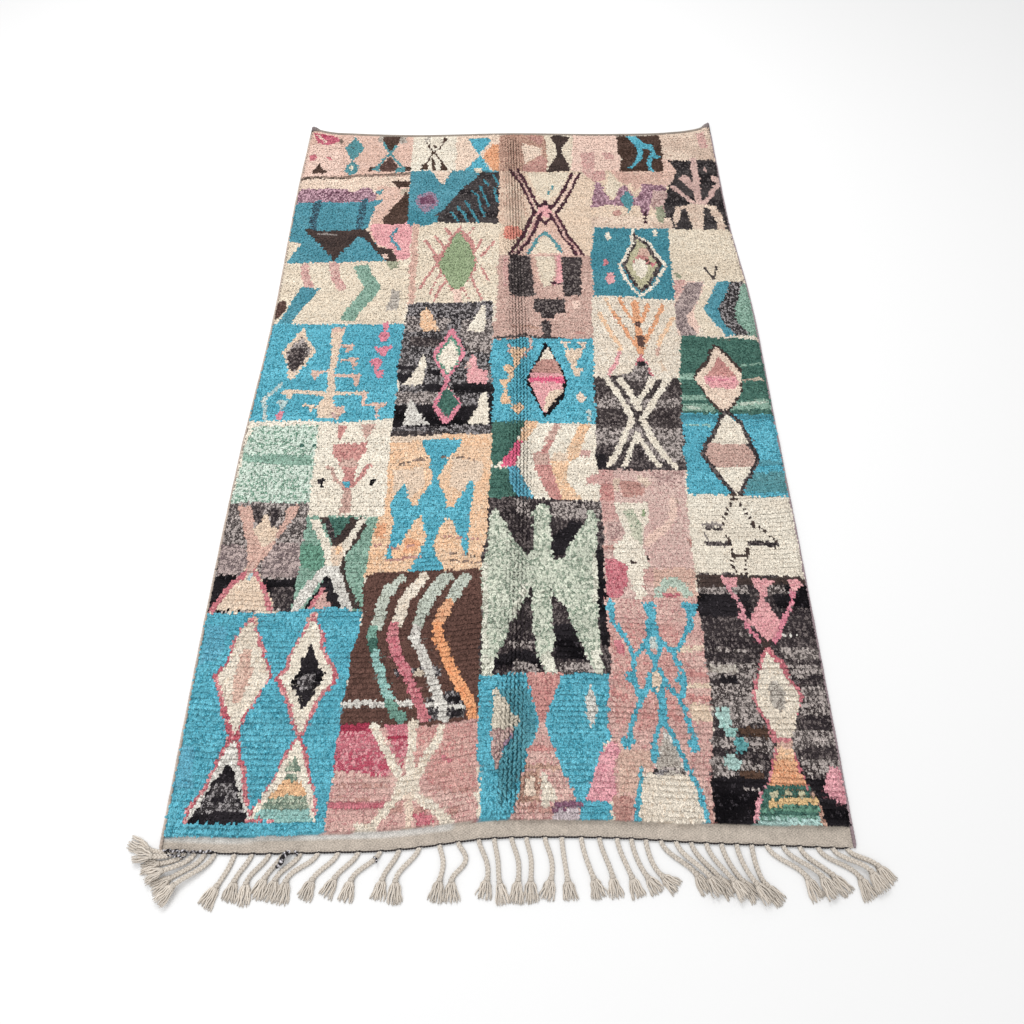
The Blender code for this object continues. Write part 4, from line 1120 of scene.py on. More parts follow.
NEAR = (
    Compartment("Left: two chains of rose-edged diamonds and triangles on turquoise", (-200, 0), """
TURQUOISE 0 0 0 132 50 132 62 134 85 135 105 134 106 122 102 108 98 25 99 0
SKY 10 125 25 122 24 102 11 100
SKY 10 52 19 50 21 30 10 28
PEACH_PINK 44 123 36 123 37 130 42 129
ROSE_PALE 73 123 72 130 75 132 78 133 79 125
ROSE_RUST 58 11 21 11 21 20 27 30 32 40 34 51 36 57 25 84 21 91 28 102 29 113 33 122 39 130 56 92 52 85
50 75 46 70 43 56 44 52 49 39
CREAM 39 128 45 111 54 92 48 76 44 70 43 63 40 57 36 67 24 91 30 101 31 113 34 122
PEACH_PINK 41 109 44 95 41 78 36 76 34 90 36 108
FROST 62 11 22 12 24 20 30 30 36 50 40 55 42 51 47 39 54 16
BLACK 55 10 38 10 24 12 30 26 40 43 42 40 52 19
CHARCOAL_LIGHT 26 16 34 31 44 31 52 16
BLACK 42 20 34 20 34 24 41 24
ROSE_RUST 55 11 56 16 62 26 72 50 76 57 68 72 65 81 58 91 63 96 64 106 72 124 77 132 79 125 84 119 86 108
92 100 96 91 88 78 81 61 78 56 82 50 86 39 93 16 93 12
MILK 77 58 67 82 62 91 65 96 66 106 70 116 76 128 82 118 84 108 89 100 93 92 90 86 85 78 79 61
BLACK 77 112 83 98 88 94 82 79 77 71 72 82 68 88 72 94 72 102
CHARCOAL_LIGHT 74 82 71 91 75 94 80 94 82 89 79 83
MILK 56 12 74 50 77 55 80 50 84 39 92 12
SPRUCE_FLECK 72 38 77 47 81 38
SPRUCE_FLECK 71 32 74 36 79 36 80 32
ORANGE_PALE 66 24 70 32 82 32 85 24
SPRUCE_FLECK 62 18 66 24 85 24 88 18
AQUA 92 12 59 12 62 18 88 18
"""),
    Compartment("Second: brown with four thick ribbons, crimson and pink with a pale star", (-110, 0), """
COCOA 90 65 60 62 10 62 12 108 16 122 15 150 17 158 22 160 91 162
CHARCOAL_LIGHT 68 92 40 92 38 96 65 98
CREAM_FLECK 60 93 50 92 50 96 59 96
CHARCOAL_LIGHT 70 66 68 75 71 84 79 84 82 76 81 67
BLACK 73 76 73 80 79 80 79 76
BLACK 74 68 74 73 80 73 80 69
CHARCOAL_LIGHT 60 66 60 79 66 79 67 66
FROST/13 11 75 55 76
FROST/12 59 76 80 73
MIST_GREEN/22 39 156 34 148
MIST_GREEN/29 32 148 28 139 26 124
AQUA_GREEN/22 24 122 22 117 25 112
SPRUCE/21 24 113 26 108
AQUA/20 27 106 34 83 38 78
AQUA_GREEN/25 38 76 41 70 45 68
CREAM/30 54 156 42 140 40 132 38 126
ROSE/25 36 124 36 117 39 109
CRIMSON_SOFT/23 39 109 47 90 51 82
ROSE/24 52 82 55 76 58 68
MIST_GREEN/30 68 156 57 142 51 125
FROST/24 50 122 49 116 54 109 57 100 68 76 70 68
MIST_GREEN/28 80 155 76 150 72 141
APRICOT/28 70 138 64 126
TANGERINE/25 63 124 64 115 68 108 75 92 84 77 86 68
ROSE_PALE 8 0 8 25 10 63 60 63 90 67 89 50 90 0
CRIMSON 10 57 10 63 28 64 28 58
CRIMSON_MIX 10 58 32 60 42 48 45 38 35 36 8 38
CRIMSON_MIX 48 40 41 50 36 64 50 64 50 52
CRIMSON/7 38 57 50 57
SALMON_ROSE 50 62 88 64 89 25 65 30 55 40
CRIMSON_SOFT/9 70 46 74 44
ROSE_BROWN/5 10 30 40 30
ROSE_BROWN/5 62 36 88 39
ROSE_BROWN/5 10 24 35 22
ROSE_BROWN/5 62 28 88 29
CRIMSON_SOFT/11 10 20 40 20
CRIMSON_SOFT 55 15 65 16 66 11 58 10
ROSE_BROWN 40 20 48 20 48 16 42 16
ROSE_BROWN 62 18 62 16 55 16 55 20
ROSE_BROWN 73 20 80 20 79 16 74 16
CREAM 38 0 24 0 24 11 31 11 37 8
MILK 31 56 27 63 30 65 33 64
CREAM/18 32 60 41 43 50 29
CREAM/20 52 65 52 30
CREAM/18 69 62 65 52 55 34 52 28
CREAM 57 35 58 28 56 22 46 22 44 28 46 35
CREAM/19 48 26 40 19 34 10 32 5
PALE_BLUSH/16 52 25 53 5
CREAM/19 57 24 64 20 75 11
"""),
    Compartment("Third: the big mottled figure's legs, and its arms above", (-20, 90), """
CHARCOAL 0 48 79 48 81 22 78 3 0 2
BLACK 6 7 7 15 32 18 38 12 36 8
BLACK 46 35 59 35 62 20 66 12 46 13
HEATHER 18 19 19 23 32 23 32 19
HEATHER 38 3 20 3 20 11 35 10
HEATHER 70 3 48 3 47 12 66 11
BLACK 80 55 79 20 74 20 74 55
MINT_CREAM 1 2 0 75 4 85 5 110 8 116 10 118 18 100 24 89 31 81 34 88 34 115 38 120 41 121 44 119 46 110
46 79 54 80 56 88 66 101 72 114 74 116 77 108 76 95 74 82 73 50 75 45 73 35 74 12 74 3 70 3 56 36 54 44
48 52 45 59 44 48 46 22 44 16 47 4 40 4 36 12 33 22 32 35 32 51 31 60 25 45 21 38 17 32 16 25 8 11
MILK_SHAG 2 15 9 12 7 2 1 2
MILK_SHAG 47 3 40 4 36 15 44 18
MILK_SHAG 67 18 73 18 74 3 70 3
MILK_SHAG/14 2 75 3 20
MILK_SHAG/12 21 42 28 60
MILK_SHAG/13 73 82 72 50
"""),
    Compartment("Third, under it: turquoise round a pink hourglass", (-30, 0), """
TURQUOISE 10 92 20 93 88 94 86 55 80 52 80 40 75 22 83 21 84 8 12 8 9 50
SEA 22 20 20 50 25 70 18 85 38 85 44 70 42 55 32 32
BEIGE 19 87 33 66 30 62 18 62
MAUVE_PALE 20 38 18 45 18 62 30 62 29 57
PLUM_HAZE/8 29 57 24 49
DUSTY_ROSE 60 94 48 63 46 63 38 94
ROSE_PALE 28 8 30 19 35 36 46 65 49 65 51 53 66 18 65 8
MAUVE_BROWN 31 21 34 36 44 38 44 22
DUSTY_ROSE/12 40 49 52 50
MAUVE_BROWN/10 38 40 56 40
ROSE_BROWN/12 31 19 50 18
CREAM 46 38 54 24 53 20 45 20 44 34
PALE_BLUSH 35 25 36 34 42 34 42 25
PLUM_FLECK/13 52 18 58 20 65 20
MAUVE_MIST 65 12 51 12 51 16 58 18 65 18
FROST 76 60 73 65 72 75 74 83 76 86 78 80 79 70
"""),
    Compartment("Fourth: pinks with a thin blue figure of lozenges, and a pale triangle", (30, 0), """
ROSE_PALE 87 142 86 75 82 45 80 8 24 8 26 55 26 75 30 115 28 142
SALMON_ROSE 30 125 70 125 75 100 65 70 45 60 30 65
CRIMSON_SOFT 33 115 38 113 38 105 33 106
DUSTY_ROSE/14 30 82 36 80
PEACH_CREAM/13 70 108 85 110
PEACH_CREAM/11 75 86 85 86
DUSTY_ROSE/16 72 94 85 93
DUSTY_ROSE/16 70 79 85 78
PEACH_CREAM 72 75 85 75 85 65 74 65
DUSTY_ROSE/10 46 69 55 68
DUSTY_ROSE/12 60 68 70 66
CANDY_LIGHT 10 21 15 39 21 50 26 54 31 51 26 40 26 22
PEACH_PINK 28 25 29 45 32 50 48 48 48 40 38 25
ROSE_BROWN 36 24 33 8 24 8 25 24
TURQUOISE/11 32 140 32 130 44 104
TURQUOISE 33 128 30 132 29 140 36 139
TURQUOISE 51 139 59 139 58 130 60 121 58 116 53 116 51 121 54 130
TURQUOISE 76 118 78 128 76 139 79 140 82 138 88 138 86 134 82 130 82 122
TURQUOISE/12 79 124 68 106
TURQUOISE/12 44 104 52 116 52 108 56 101 59 108 58 116 64 109 68 106
MIST 56 107 53 110 53 116 57 116 58 110
TURQUOISE/13 56 102 56 98 52 92 44 74
TURQUOISE/13 56 98 59 93 61 88 57 81 52 85 50 88
TURQUOISE/13 61 88 68 77 71 82 72 89 72 95 69 101 68 106
PEACH_CREAM 56 83 52 87 52 92 56 96 60 88
TURQUOISE/13 44 104 42 95 42 86 46 78
TURQUOISE 42 95 40 88 37 90 38 95
TURQUOISE 69 95 74 92 74 89 71 86 68 90
TURQUOISE 55 82 60 82 60 70 61 62 55 62
TURQUOISE/12 44 75 36 55
TURQUOISE 40 52 33 50 32 54 33 57 40 56
TURQUOISE/12 68 76 72 62 73 55
TURQUOISE 70 54 75 55 76 50 74 47 71 48
TURQUOISE/12 56 63 51 56 50 47
TURQUOISE 48 50 52 50 51 44 48 43
TURQUOISE/12 59 63 72 28 77 8
FROST 48 36 57 62 67 36
GREY_FLECK 48 36 52 45 54 55 59 55 64 43 65 36
CHARCOAL_LIGHT/9 48 38 55 38
HEATHER/9 55 40 65 38
CREAM 76 8 36 8 41 34 47 40 48 36 67 36 70 29
TURQUOISE/12 42 39 38 20 36 8
ROSE_BROWN 76 20 79 20 79 8 77 8
"""),
    Compartment("Right: black, pepper and salt, a pink figure, a diamond, a banded triangle", (100, 0), """
CHARCOAL 100 0 10 0 9 25 16 68 16 100 18 159 100 156
BLACK_BROWN 18 158 90 156 90 151 18 150
HEATHER 18 150 50 150 50 145 18 145
BLACK 16 130 17 145 50 145 50 130
BLACK 62 150 100 150 100 135 65 135
HEATHER 75 144 60 144 60 150 72 150
HEATHER/8/24 38 119 50 118
FROST/6/18 65 118 75 117
HEATHER/9/22 18 108 45 108
HEATHER 62 110 88 109 88 102 64 102
HEATHER 16 101 48 100 48 89 40 88 16 91
GREY_FLECK 35 94 18 94 18 99 35 99
BLACK 23 92 34 92 34 88 23 88
HEATHER 42 87 44 65 26 62 16 68 16 87
HEATHER 65 91 65 98 88 100 88 93
HEATHER 68 68 71 85 88 85 86 69
HEATHER 60 50 61 61 88 59 86 52
HEATHER 60 45 85 44 85 35 65 35
HEATHER 12 57 48 56 48 46 32 50 12 51
HEATHER 40 41 38 37 12 34 12 46 19 46
BROWN 28 62 48 62 48 56 32 57
BROWN 25 38 40 38 39 34 26 34
BLACK 10 8 10 34 41 34 38 25 28 8
BLACK 90 5 68 5 69 18 62 34 74 34 72 26 90 20
HEATHER/6 28 28 35 28
AQUA_PALE 19 62 18 72 26 72 26 63
AQUA 20 63 28 62 28 57 22 57
TEAL_SOFT 26 58 30 56 34 52 32 48 26 48
AQUA_PALE 19 40 19 46 25 47 26 44 30 43 26 38
PINK 33 156 44 156 42 150 39 149 35 151
CANDY_LIGHT/11 37 150 44 134 45 128
CANDY_LIGHT/13 42 130 48 126
PINK 55 112 52 118 50 123 46 126 55 140 56 145 52 156 66 154 66 152 62 150 60 144 58 141 67 125
CANDY/11 45 125 51 112
CANDY/12 79 152 75 138 60 114
PINK 76 154 84 154 84 150 79 145 77 147
BLACK_BROWN 52 108 52 116 56 114 58 116 57 108
ROSE 48 52 46 63 40 80 44 89 53 110 57 110 59 104 64 99 65 92 72 80 61 60 60 52
CREAM 54 106 59 100 63 92 70 79 60 56 51 56 42 80 52 102
GREY_FLECK 56 70 52 75 51 82 53 89 58 89 61 82 60 74
PEACH_PINK 49 48 50 54 60 54 60 48
ROSE 40 29 49 50 60 50 62 35 65 29
PEACH 48 41 50 50 59 50 60 41
ORANGE 62 30 42 30 48 44 60 44
CANDY_LIGHT 39 30 41 28 32 12 29 8 28 8 32 21
MAUVE_BROWN 64 26 68 20 70 10 66 10
SPRUCE 31 8 36 20 41 30 62 30 66 20 68 8
LEAF_YELLOW/11/30 42 26 64 25
SUN/12 41 21 65 22
GREEN/9 36 18 65 18
AQUA_PALE 31 8 33 14 67 14 68 8
AQUA_GREEN/6 34 14 65 14
CANDY_LIGHT 90 21 78 21 75 22 71 28 74 34 76 40 80 40 90 38
"""),
)


RAISED = (
    Compartment("The ribbons of long pale wool that stand out from the pile", (-100, 60), """
MILK/30 29 96 22 88 18 79 16 64
MILK/24 14 62 12 57 17 46 22 31 28 18 35 8
MILK/32 44 96 38 88 32 80 28 66
MILK/26 26 64 26 57 32 41 48 8
MILK/32 58 96 47 82 41 65
MILK/26 40 62 39 56 54 24 60 8
MILK/30 70 95 66 90 54 66
MILK/27 53 64 54 55 70 23 76 8
MILK/14 1 15 45 16
"""),
)


@dataclass
class Chart:
    """The hand-knotted design: which wool and colour each yarn end has. Later marks lie over earlier ones."""

    parts: tuple[Compartment, ...] = (*FAR, *UPPER, *MIDDLE, *LOWER, *NEAR)
    raised: tuple[Compartment, ...] = RAISED
    wander: float = 0.35
    scatter: float = 0.13
    row_slip: float = 0.20
    knot_row: float = 0.013
    raised_height: float = 0.0022
    glow: float = 0.045
    row: float = 0.0066
    marl: float = 0.55
    streaks: tuple[float, float] = (130.0, 310.0)

    def wools(self, x: Array, y: Array, noise: np.random.Generator) -> Array:
        """Number of each point's wool; the marks' edges wander, slip from row to row and scatter a little.

        Args:
            x: Plan places across, in metres.
            y: Plan places along.
            noise: Source of the scatter.

        Returns:
            Places in the list of wools.
        """
        row = np.floor(y / self.knot_row) * self.knot_row
        u = 100 * x + self.wander * drift(x, y, 0.05, 0.05, 41)
        u = u + self.row_slip * drift(row * 7, row, 0.05, 0.01, 43)
        v = 100 * y + self.wander * drift(x, y, 0.05, 0.05, 42)
        u = u + noise.normal(0, self.scatter, x.shape)
        v = v + noise.normal(0, self.scatter, x.shape)
        order = list(Wool)
        found = np.full(x.shape, order.index(Wool.CREAM))
        for mark in chain.from_iterable(part.marks() for part in self.parts):
            low, high = mark.box()
            near = np.flatnonzero((u > low[0]) & (u < high[0]) & (v > low[1]) & (v < high[1]))
            found[near[mark.covers(u[near], v[near])]] = order.index(mark.wool)
        return found

    def dyed(self, wool: Array, x: Array, y: Array, noise: np.random.Generator) -> tuple[Array, Array]:
        """Linear colour of each end, and of the fibres of another colour spun into it.

        An end has its wool's colour, clouded towards the odd colour, or the odd colour itself. Odd ends come
        in short streaks along the rows: their share swells by two sines with a phase for each row.

        Args:
            wool: Numbers of the wools.
            x: Plan places across.
            y: Plan places along.
            noise: Source of the odd ends.

        Returns:
            Rows of red, green and blue, and rows of red, green, blue and the share of such fibres.
        """
        dyes = [entry.value for entry in Wool]
        main = np.array([linear(dye.main) for dye in dyes])[wool]
        odd = np.array([linear(dye.odd) for dye in dyes])[wool]
        share = np.array([dye.share for dye in dyes])[wool]
        cloud = np.array([dye.cloud for dye in dyes])[wool]
        run = noise.uniform(0, 2 * np.pi, (2, 500))[:, (y / self.row).astype(int) % 500]
        streak = np.sin(x * self.streaks[0] + run[0]) + np.sin(x * self.streaks[1] + run[1])
        swell = streak * np.minimum(0.5, 1.6 * cloud) + 0.3 * drift(x, y, 0.035, 0.02, 51)
        is_odd = noise.random(x.shape) < share * (1 + swell)
        toward = cloud * np.clip(0.5 + 0.9 * drift(x, y, 0.09, 0.03, 52), 0, 1)
        mix = np.where(is_odd, 0.95, toward)[:, None]
        band = 1 + self.glow * drift(x, y, 0.30, 0.012, 53) + noise.normal(0, self.glow, x.shape)
        fibres = np.where(is_odd[:, None], main, odd) * band[:, None]
        spun = self.marl * np.where(is_odd, 1 - share, share)
        return (main * (1 - mix) + odd * mix) * band[:, None], np.column_stack([fibres, spun])

    def colours(self, x: Array, y: Array, noise: np.random.Generator) -> Array:
        """Linear colour at plan places."""
        return self.dyed(self.wools(x, y, noise), x, y, noise)[0]

    def shag(self, wool: Array) -> Array:
        """How long and loose each end's wool is."""
        return np.array([entry.value.shag for entry in Wool])[wool]

    def rise(self, x: Array, y: Array) -> Array:
        """How far the ends of the raised ribbons stand out."""
        over = np.zeros(x.shape, bool)
        for mark in chain.from_iterable(part.marks() for part in self.raised):
            over |= mark.covers(100 * x, 100 * y)
        return self.raised_height * over


@dataclass(frozen=True)
class Tube:
    """Closed tubes made together: rings of so many points round paths."""

    sides: int

    def points(self, centre: Array, across: Array, up: Array) -> Array:
        """Rings round the paths: centre + across·cos(a)·side + up·sin(a)·upward for each angle a.

        Args:
            centre: Ring centres, (tubes, rings, 3).
            across: Half widths, (tubes, rings).
            up: Half heights, (tubes, rings).

        Returns:
            Points, (tubes, rings, sides, 3).
        """
        ahead = np.gradient(centre, axis=1)
        ahead = ahead / np.linalg.norm(ahead, axis=-1, keepdims=True)
        side = np.cross(ahead, np.array([0.0, 0.0, 1.0]))
        side /= np.maximum(np.linalg.norm(side, axis=-1, keepdims=True), 1e-9)
        upward = np.cross(side, ahead)
        turn = 2 * np.pi * (np.arange(self.sides) + 0.5) / self.sides
        wide = (across[..., None] * np.cos(turn))[..., None] * side[..., None, :]
        tall = (up[..., None] * np.sin(turn))[..., None] * upward[..., None, :]
        return centre[..., None, :] + wide + tall

    def faces(self, tubes: int, rings: int) -> Array:
        """Triangles of that many tubes: two a cell, and a fan over each end.

        Args:
            tubes: Number of tubes.
            rings: Rings in each.

        Returns:
            Rows of three point numbers.
        """
        sides = self.sides
        ring, side = np.meshgrid(np.arange(rings - 1), np.arange(sides), indexing="ij")
        a = ring * sides + side
        b = ring * sides + (side + 1) % sides
        wall = np.concatenate([np.stack([a, b + sides, b], -1), np.stack([a, a + sides, b + sides], -1)])
        fan = np.arange(1, sides - 1)
        first = np.stack([np.zeros_like(fan), fan, fan + 1], -1)
        last = (rings - 1) * sides + first[:, ::-1]
        one = np.concatenate([wall.reshape(-1, 3), first, last])
        return (one + rings * sides * np.arange(tubes)[:, None, None]).reshape(-1, 3)


def make_piece(
    name: str,
    points: Array,
    faces: Array,
    colours: Array,
    materials: list[bpy.types.Material],
    worn: Array | None = None,
    places: Array | None = None,
    fibres: Array | None = None,
    smooth: bool = True,
) -> bpy.types.Object:
    """A finished piece at the origin, riding on the rug's body.

    Args:
        name: The piece's name.
        points: Frame points, any shape ending in 3.
        faces: Rows of three or four point numbers, turned outwards.
        colours: Linear red, green and blue of each point.
        materials: Its finishes.
        worn: Which of them each face wears.
        places: UV place of each face corner, where the piece has a map.
        fibres: Colour and share of the other fibres spun into each point's yarn.
        smooth: Whether its faces are shaded as one round surface.

    Returns:
        The piece.
    """
    points, faces = points.reshape(-1, 3), np.asarray(faces)
    count, corners = faces.shape
    mesh = bpy.data.meshes.new(name)
    mesh.vertices.add(len(points))
    mesh.vertices.foreach_set("co", points.astype(np.float32).ravel())
    mesh.loops.add(count * corners)
    mesh.loops.foreach_set("vertex_index", faces.astype(np.int32).ravel())
    mesh.polygons.add(count)
    mesh.polygons.foreach_set("loop_start", (np.arange(count) * corners).astype(np.int32))
    if worn is not None:
        mesh.polygons.foreach_set("material_index", worn.astype(np.int32))
    for material in materials:
        mesh.materials.append(material)
    if places is not None:
        layer = mesh.uv_layers.new(name="OFBake")
        layer.data.foreach_set("uv", places.astype(np.float32).ravel())
    rgba = np.concatenate([colours.reshape(-1, 3), np.ones((len(points), 1))], axis=1)
    for title, values in (("dye", rgba), ("fibres", fibres)):
        if values is not None:
            layer = mesh.color_attributes.new(title, "FLOAT_COLOR", "POINT")
            layer.data.foreach_set("color", values.astype(np.float32).ravel())
    mesh.update(calc_edges=True)
    mesh.validate()
    if smooth:
        mesh.shade_smooth()
    else:
        mesh.shade_flat()
    piece = bpy.data.objects.new(name, mesh)
    bpy.context.collection.objects.link(piece)
    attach(piece, BODY)
    LOG.info("%s: %d points, %d triangles", name, len(points), count * (corners - 2))
    return piece


def grid_faces(rows: int, columns: int) -> Array:
    """Quads of a grid numbered row by row, facing up where rows run along and columns across."""
    row, column = np.meshgrid(np.arange(rows - 1), np.arange(columns - 1), indexing="ij")
    a = (row * columns + column).ravel()
    return np.stack([a, a + 1, a + columns + 1, a + columns], -1)


@dataclass
class GroundCloth:
    """The woven ground: the heading in plain weave, the base of the pile, and the knotted back."""

    cloth: Cloth
    chart: Chart
    columns: int = 110
    field_rows: int = 168
    heading_rows: tuple[float, ...] = (
        0.0, 0.002, 0.007, 0.014, 0.021, 0.027, 0.031, 0.035, 0.039, 0.043, 0.048,
    )
    field_base: float = 0.0120
    side_base: float = 0.0048
    # Painted shade: the pile's base is darker as it lies under the pile (shade), and darker still in the
    # crease's grooves (rib_shade).
    shade: float = 0.94
    rib_shade: float = 0.6
    rib_depth: float = 0.003
    back_shade: float = 0.8
    side_slope: float = 0.012
    heading_slope: tuple[float, float] = (0.001, 0.007)
    weave_reach: float = 0.002
    rib_slope: tuple[float, float] = (0.001, 0.010)
    edge_drop: float = 0.0012
    edge_slope: float = 0.003
    weft_edge: tuple[float, float] = (-0.0095, -0.0075)
    weft_end: tuple[float, float] = (-0.14, -0.13)
    beige: Colour = (196, 184, 171)
    first_weft: Colour = (216, 212, 206)

    def rows(self) -> Array:
        """Shares of the length with a row: close over the heading, even over the field."""
        near = np.array(self.heading_rows) / self.cloth.length
        return np.concatenate([near, np.linspace(near[-1], 1.0, self.field_rows)[1:]])

    def build(self) -> bpy.types.Object:
        """The closed cloth: top grid, back grid and a rim between them.

        The top is the weave's thickness in the heading, and rises by an S-curve to the base of the pile.
        """
        across, along = np.meshgrid(np.linspace(0, 1, self.columns), self.rows())
        x, y = self.cloth.plan(across, along)
        fold = self.cloth.crease(x, along)
        lift = self.cloth.crease_lift * fold
        beyond = self.cloth.from_heading(x, y)
        inside = ease(self.cloth.from_side(x, along), 0.0, self.side_slope)
        base = self.side_base + (self.field_base - self.side_base) * inside
        top = self.cloth.weave + (base - self.cloth.weave) * ease(beyond, *self.heading_slope)
        top -= self.edge_drop * (1 - ease(y - self.cloth.near_edge(x), 0.0, self.edge_slope))
        top -= self.rib_depth * fold * ease(beyond, *self.rib_slope)
        high = self.cloth.to_row(x, y, top + lift)
        low = self.cloth.to_row(x, y, lift)
        rows, columns = x.shape
        count = rows * columns
        up = grid_faces(rows, columns)
        index = np.arange(count).reshape(rows, columns)
        rim = np.concatenate([index[0], index[1:, -1], index[-1, -2::-1], index[-2:0:-1, 0]])
        after = np.roll(rim, -1)
        wall = np.stack([after, rim, rim + count, after + count], -1)
        faces = np.concatenate([up, up[:, ::-1] + count, wall[:, ::-1]])
        heading = (beyond.ravel()[up].mean(axis=1) < self.weave_reach).astype(int)
        worn = np.concatenate([heading, np.full(len(up), 2), np.ones(len(wall), int)])
        dyes = self.chart.colours(x.ravel(), y.ravel(), np.random.default_rng(5))
        pale = (ease(beyond, *self.weft_edge) * (1 - ease(x, *self.weft_end))).ravel()[:, None]
        weave = linear(self.beige) * (1 - pale) + linear(self.first_weft) * pale
        plain = (beyond < self.heading_slope[0]).ravel()[:, None]
        # Painted shade on the pile's base: darker under the pile, and darker still in the crease's grooves.
        shown = np.where(plain, weave, dyes * self.shade * (1 - self.rib_shade * fold.ravel()[:, None]))
        back = np.where(plain, weave, dyes) * self.back_shade
        finishes = [PileFinish("pile_ground", marled=False).make(), WeaveFinish().make(), BackFinish().make()]
        piece = make_piece(
            "ground_cloth", np.concatenate([high.reshape(-1, 3), low.reshape(-1, 3)]), faces,
            np.concatenate([shown, back]), finishes, worn,
        )
        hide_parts("rug_cloth")
        return piece


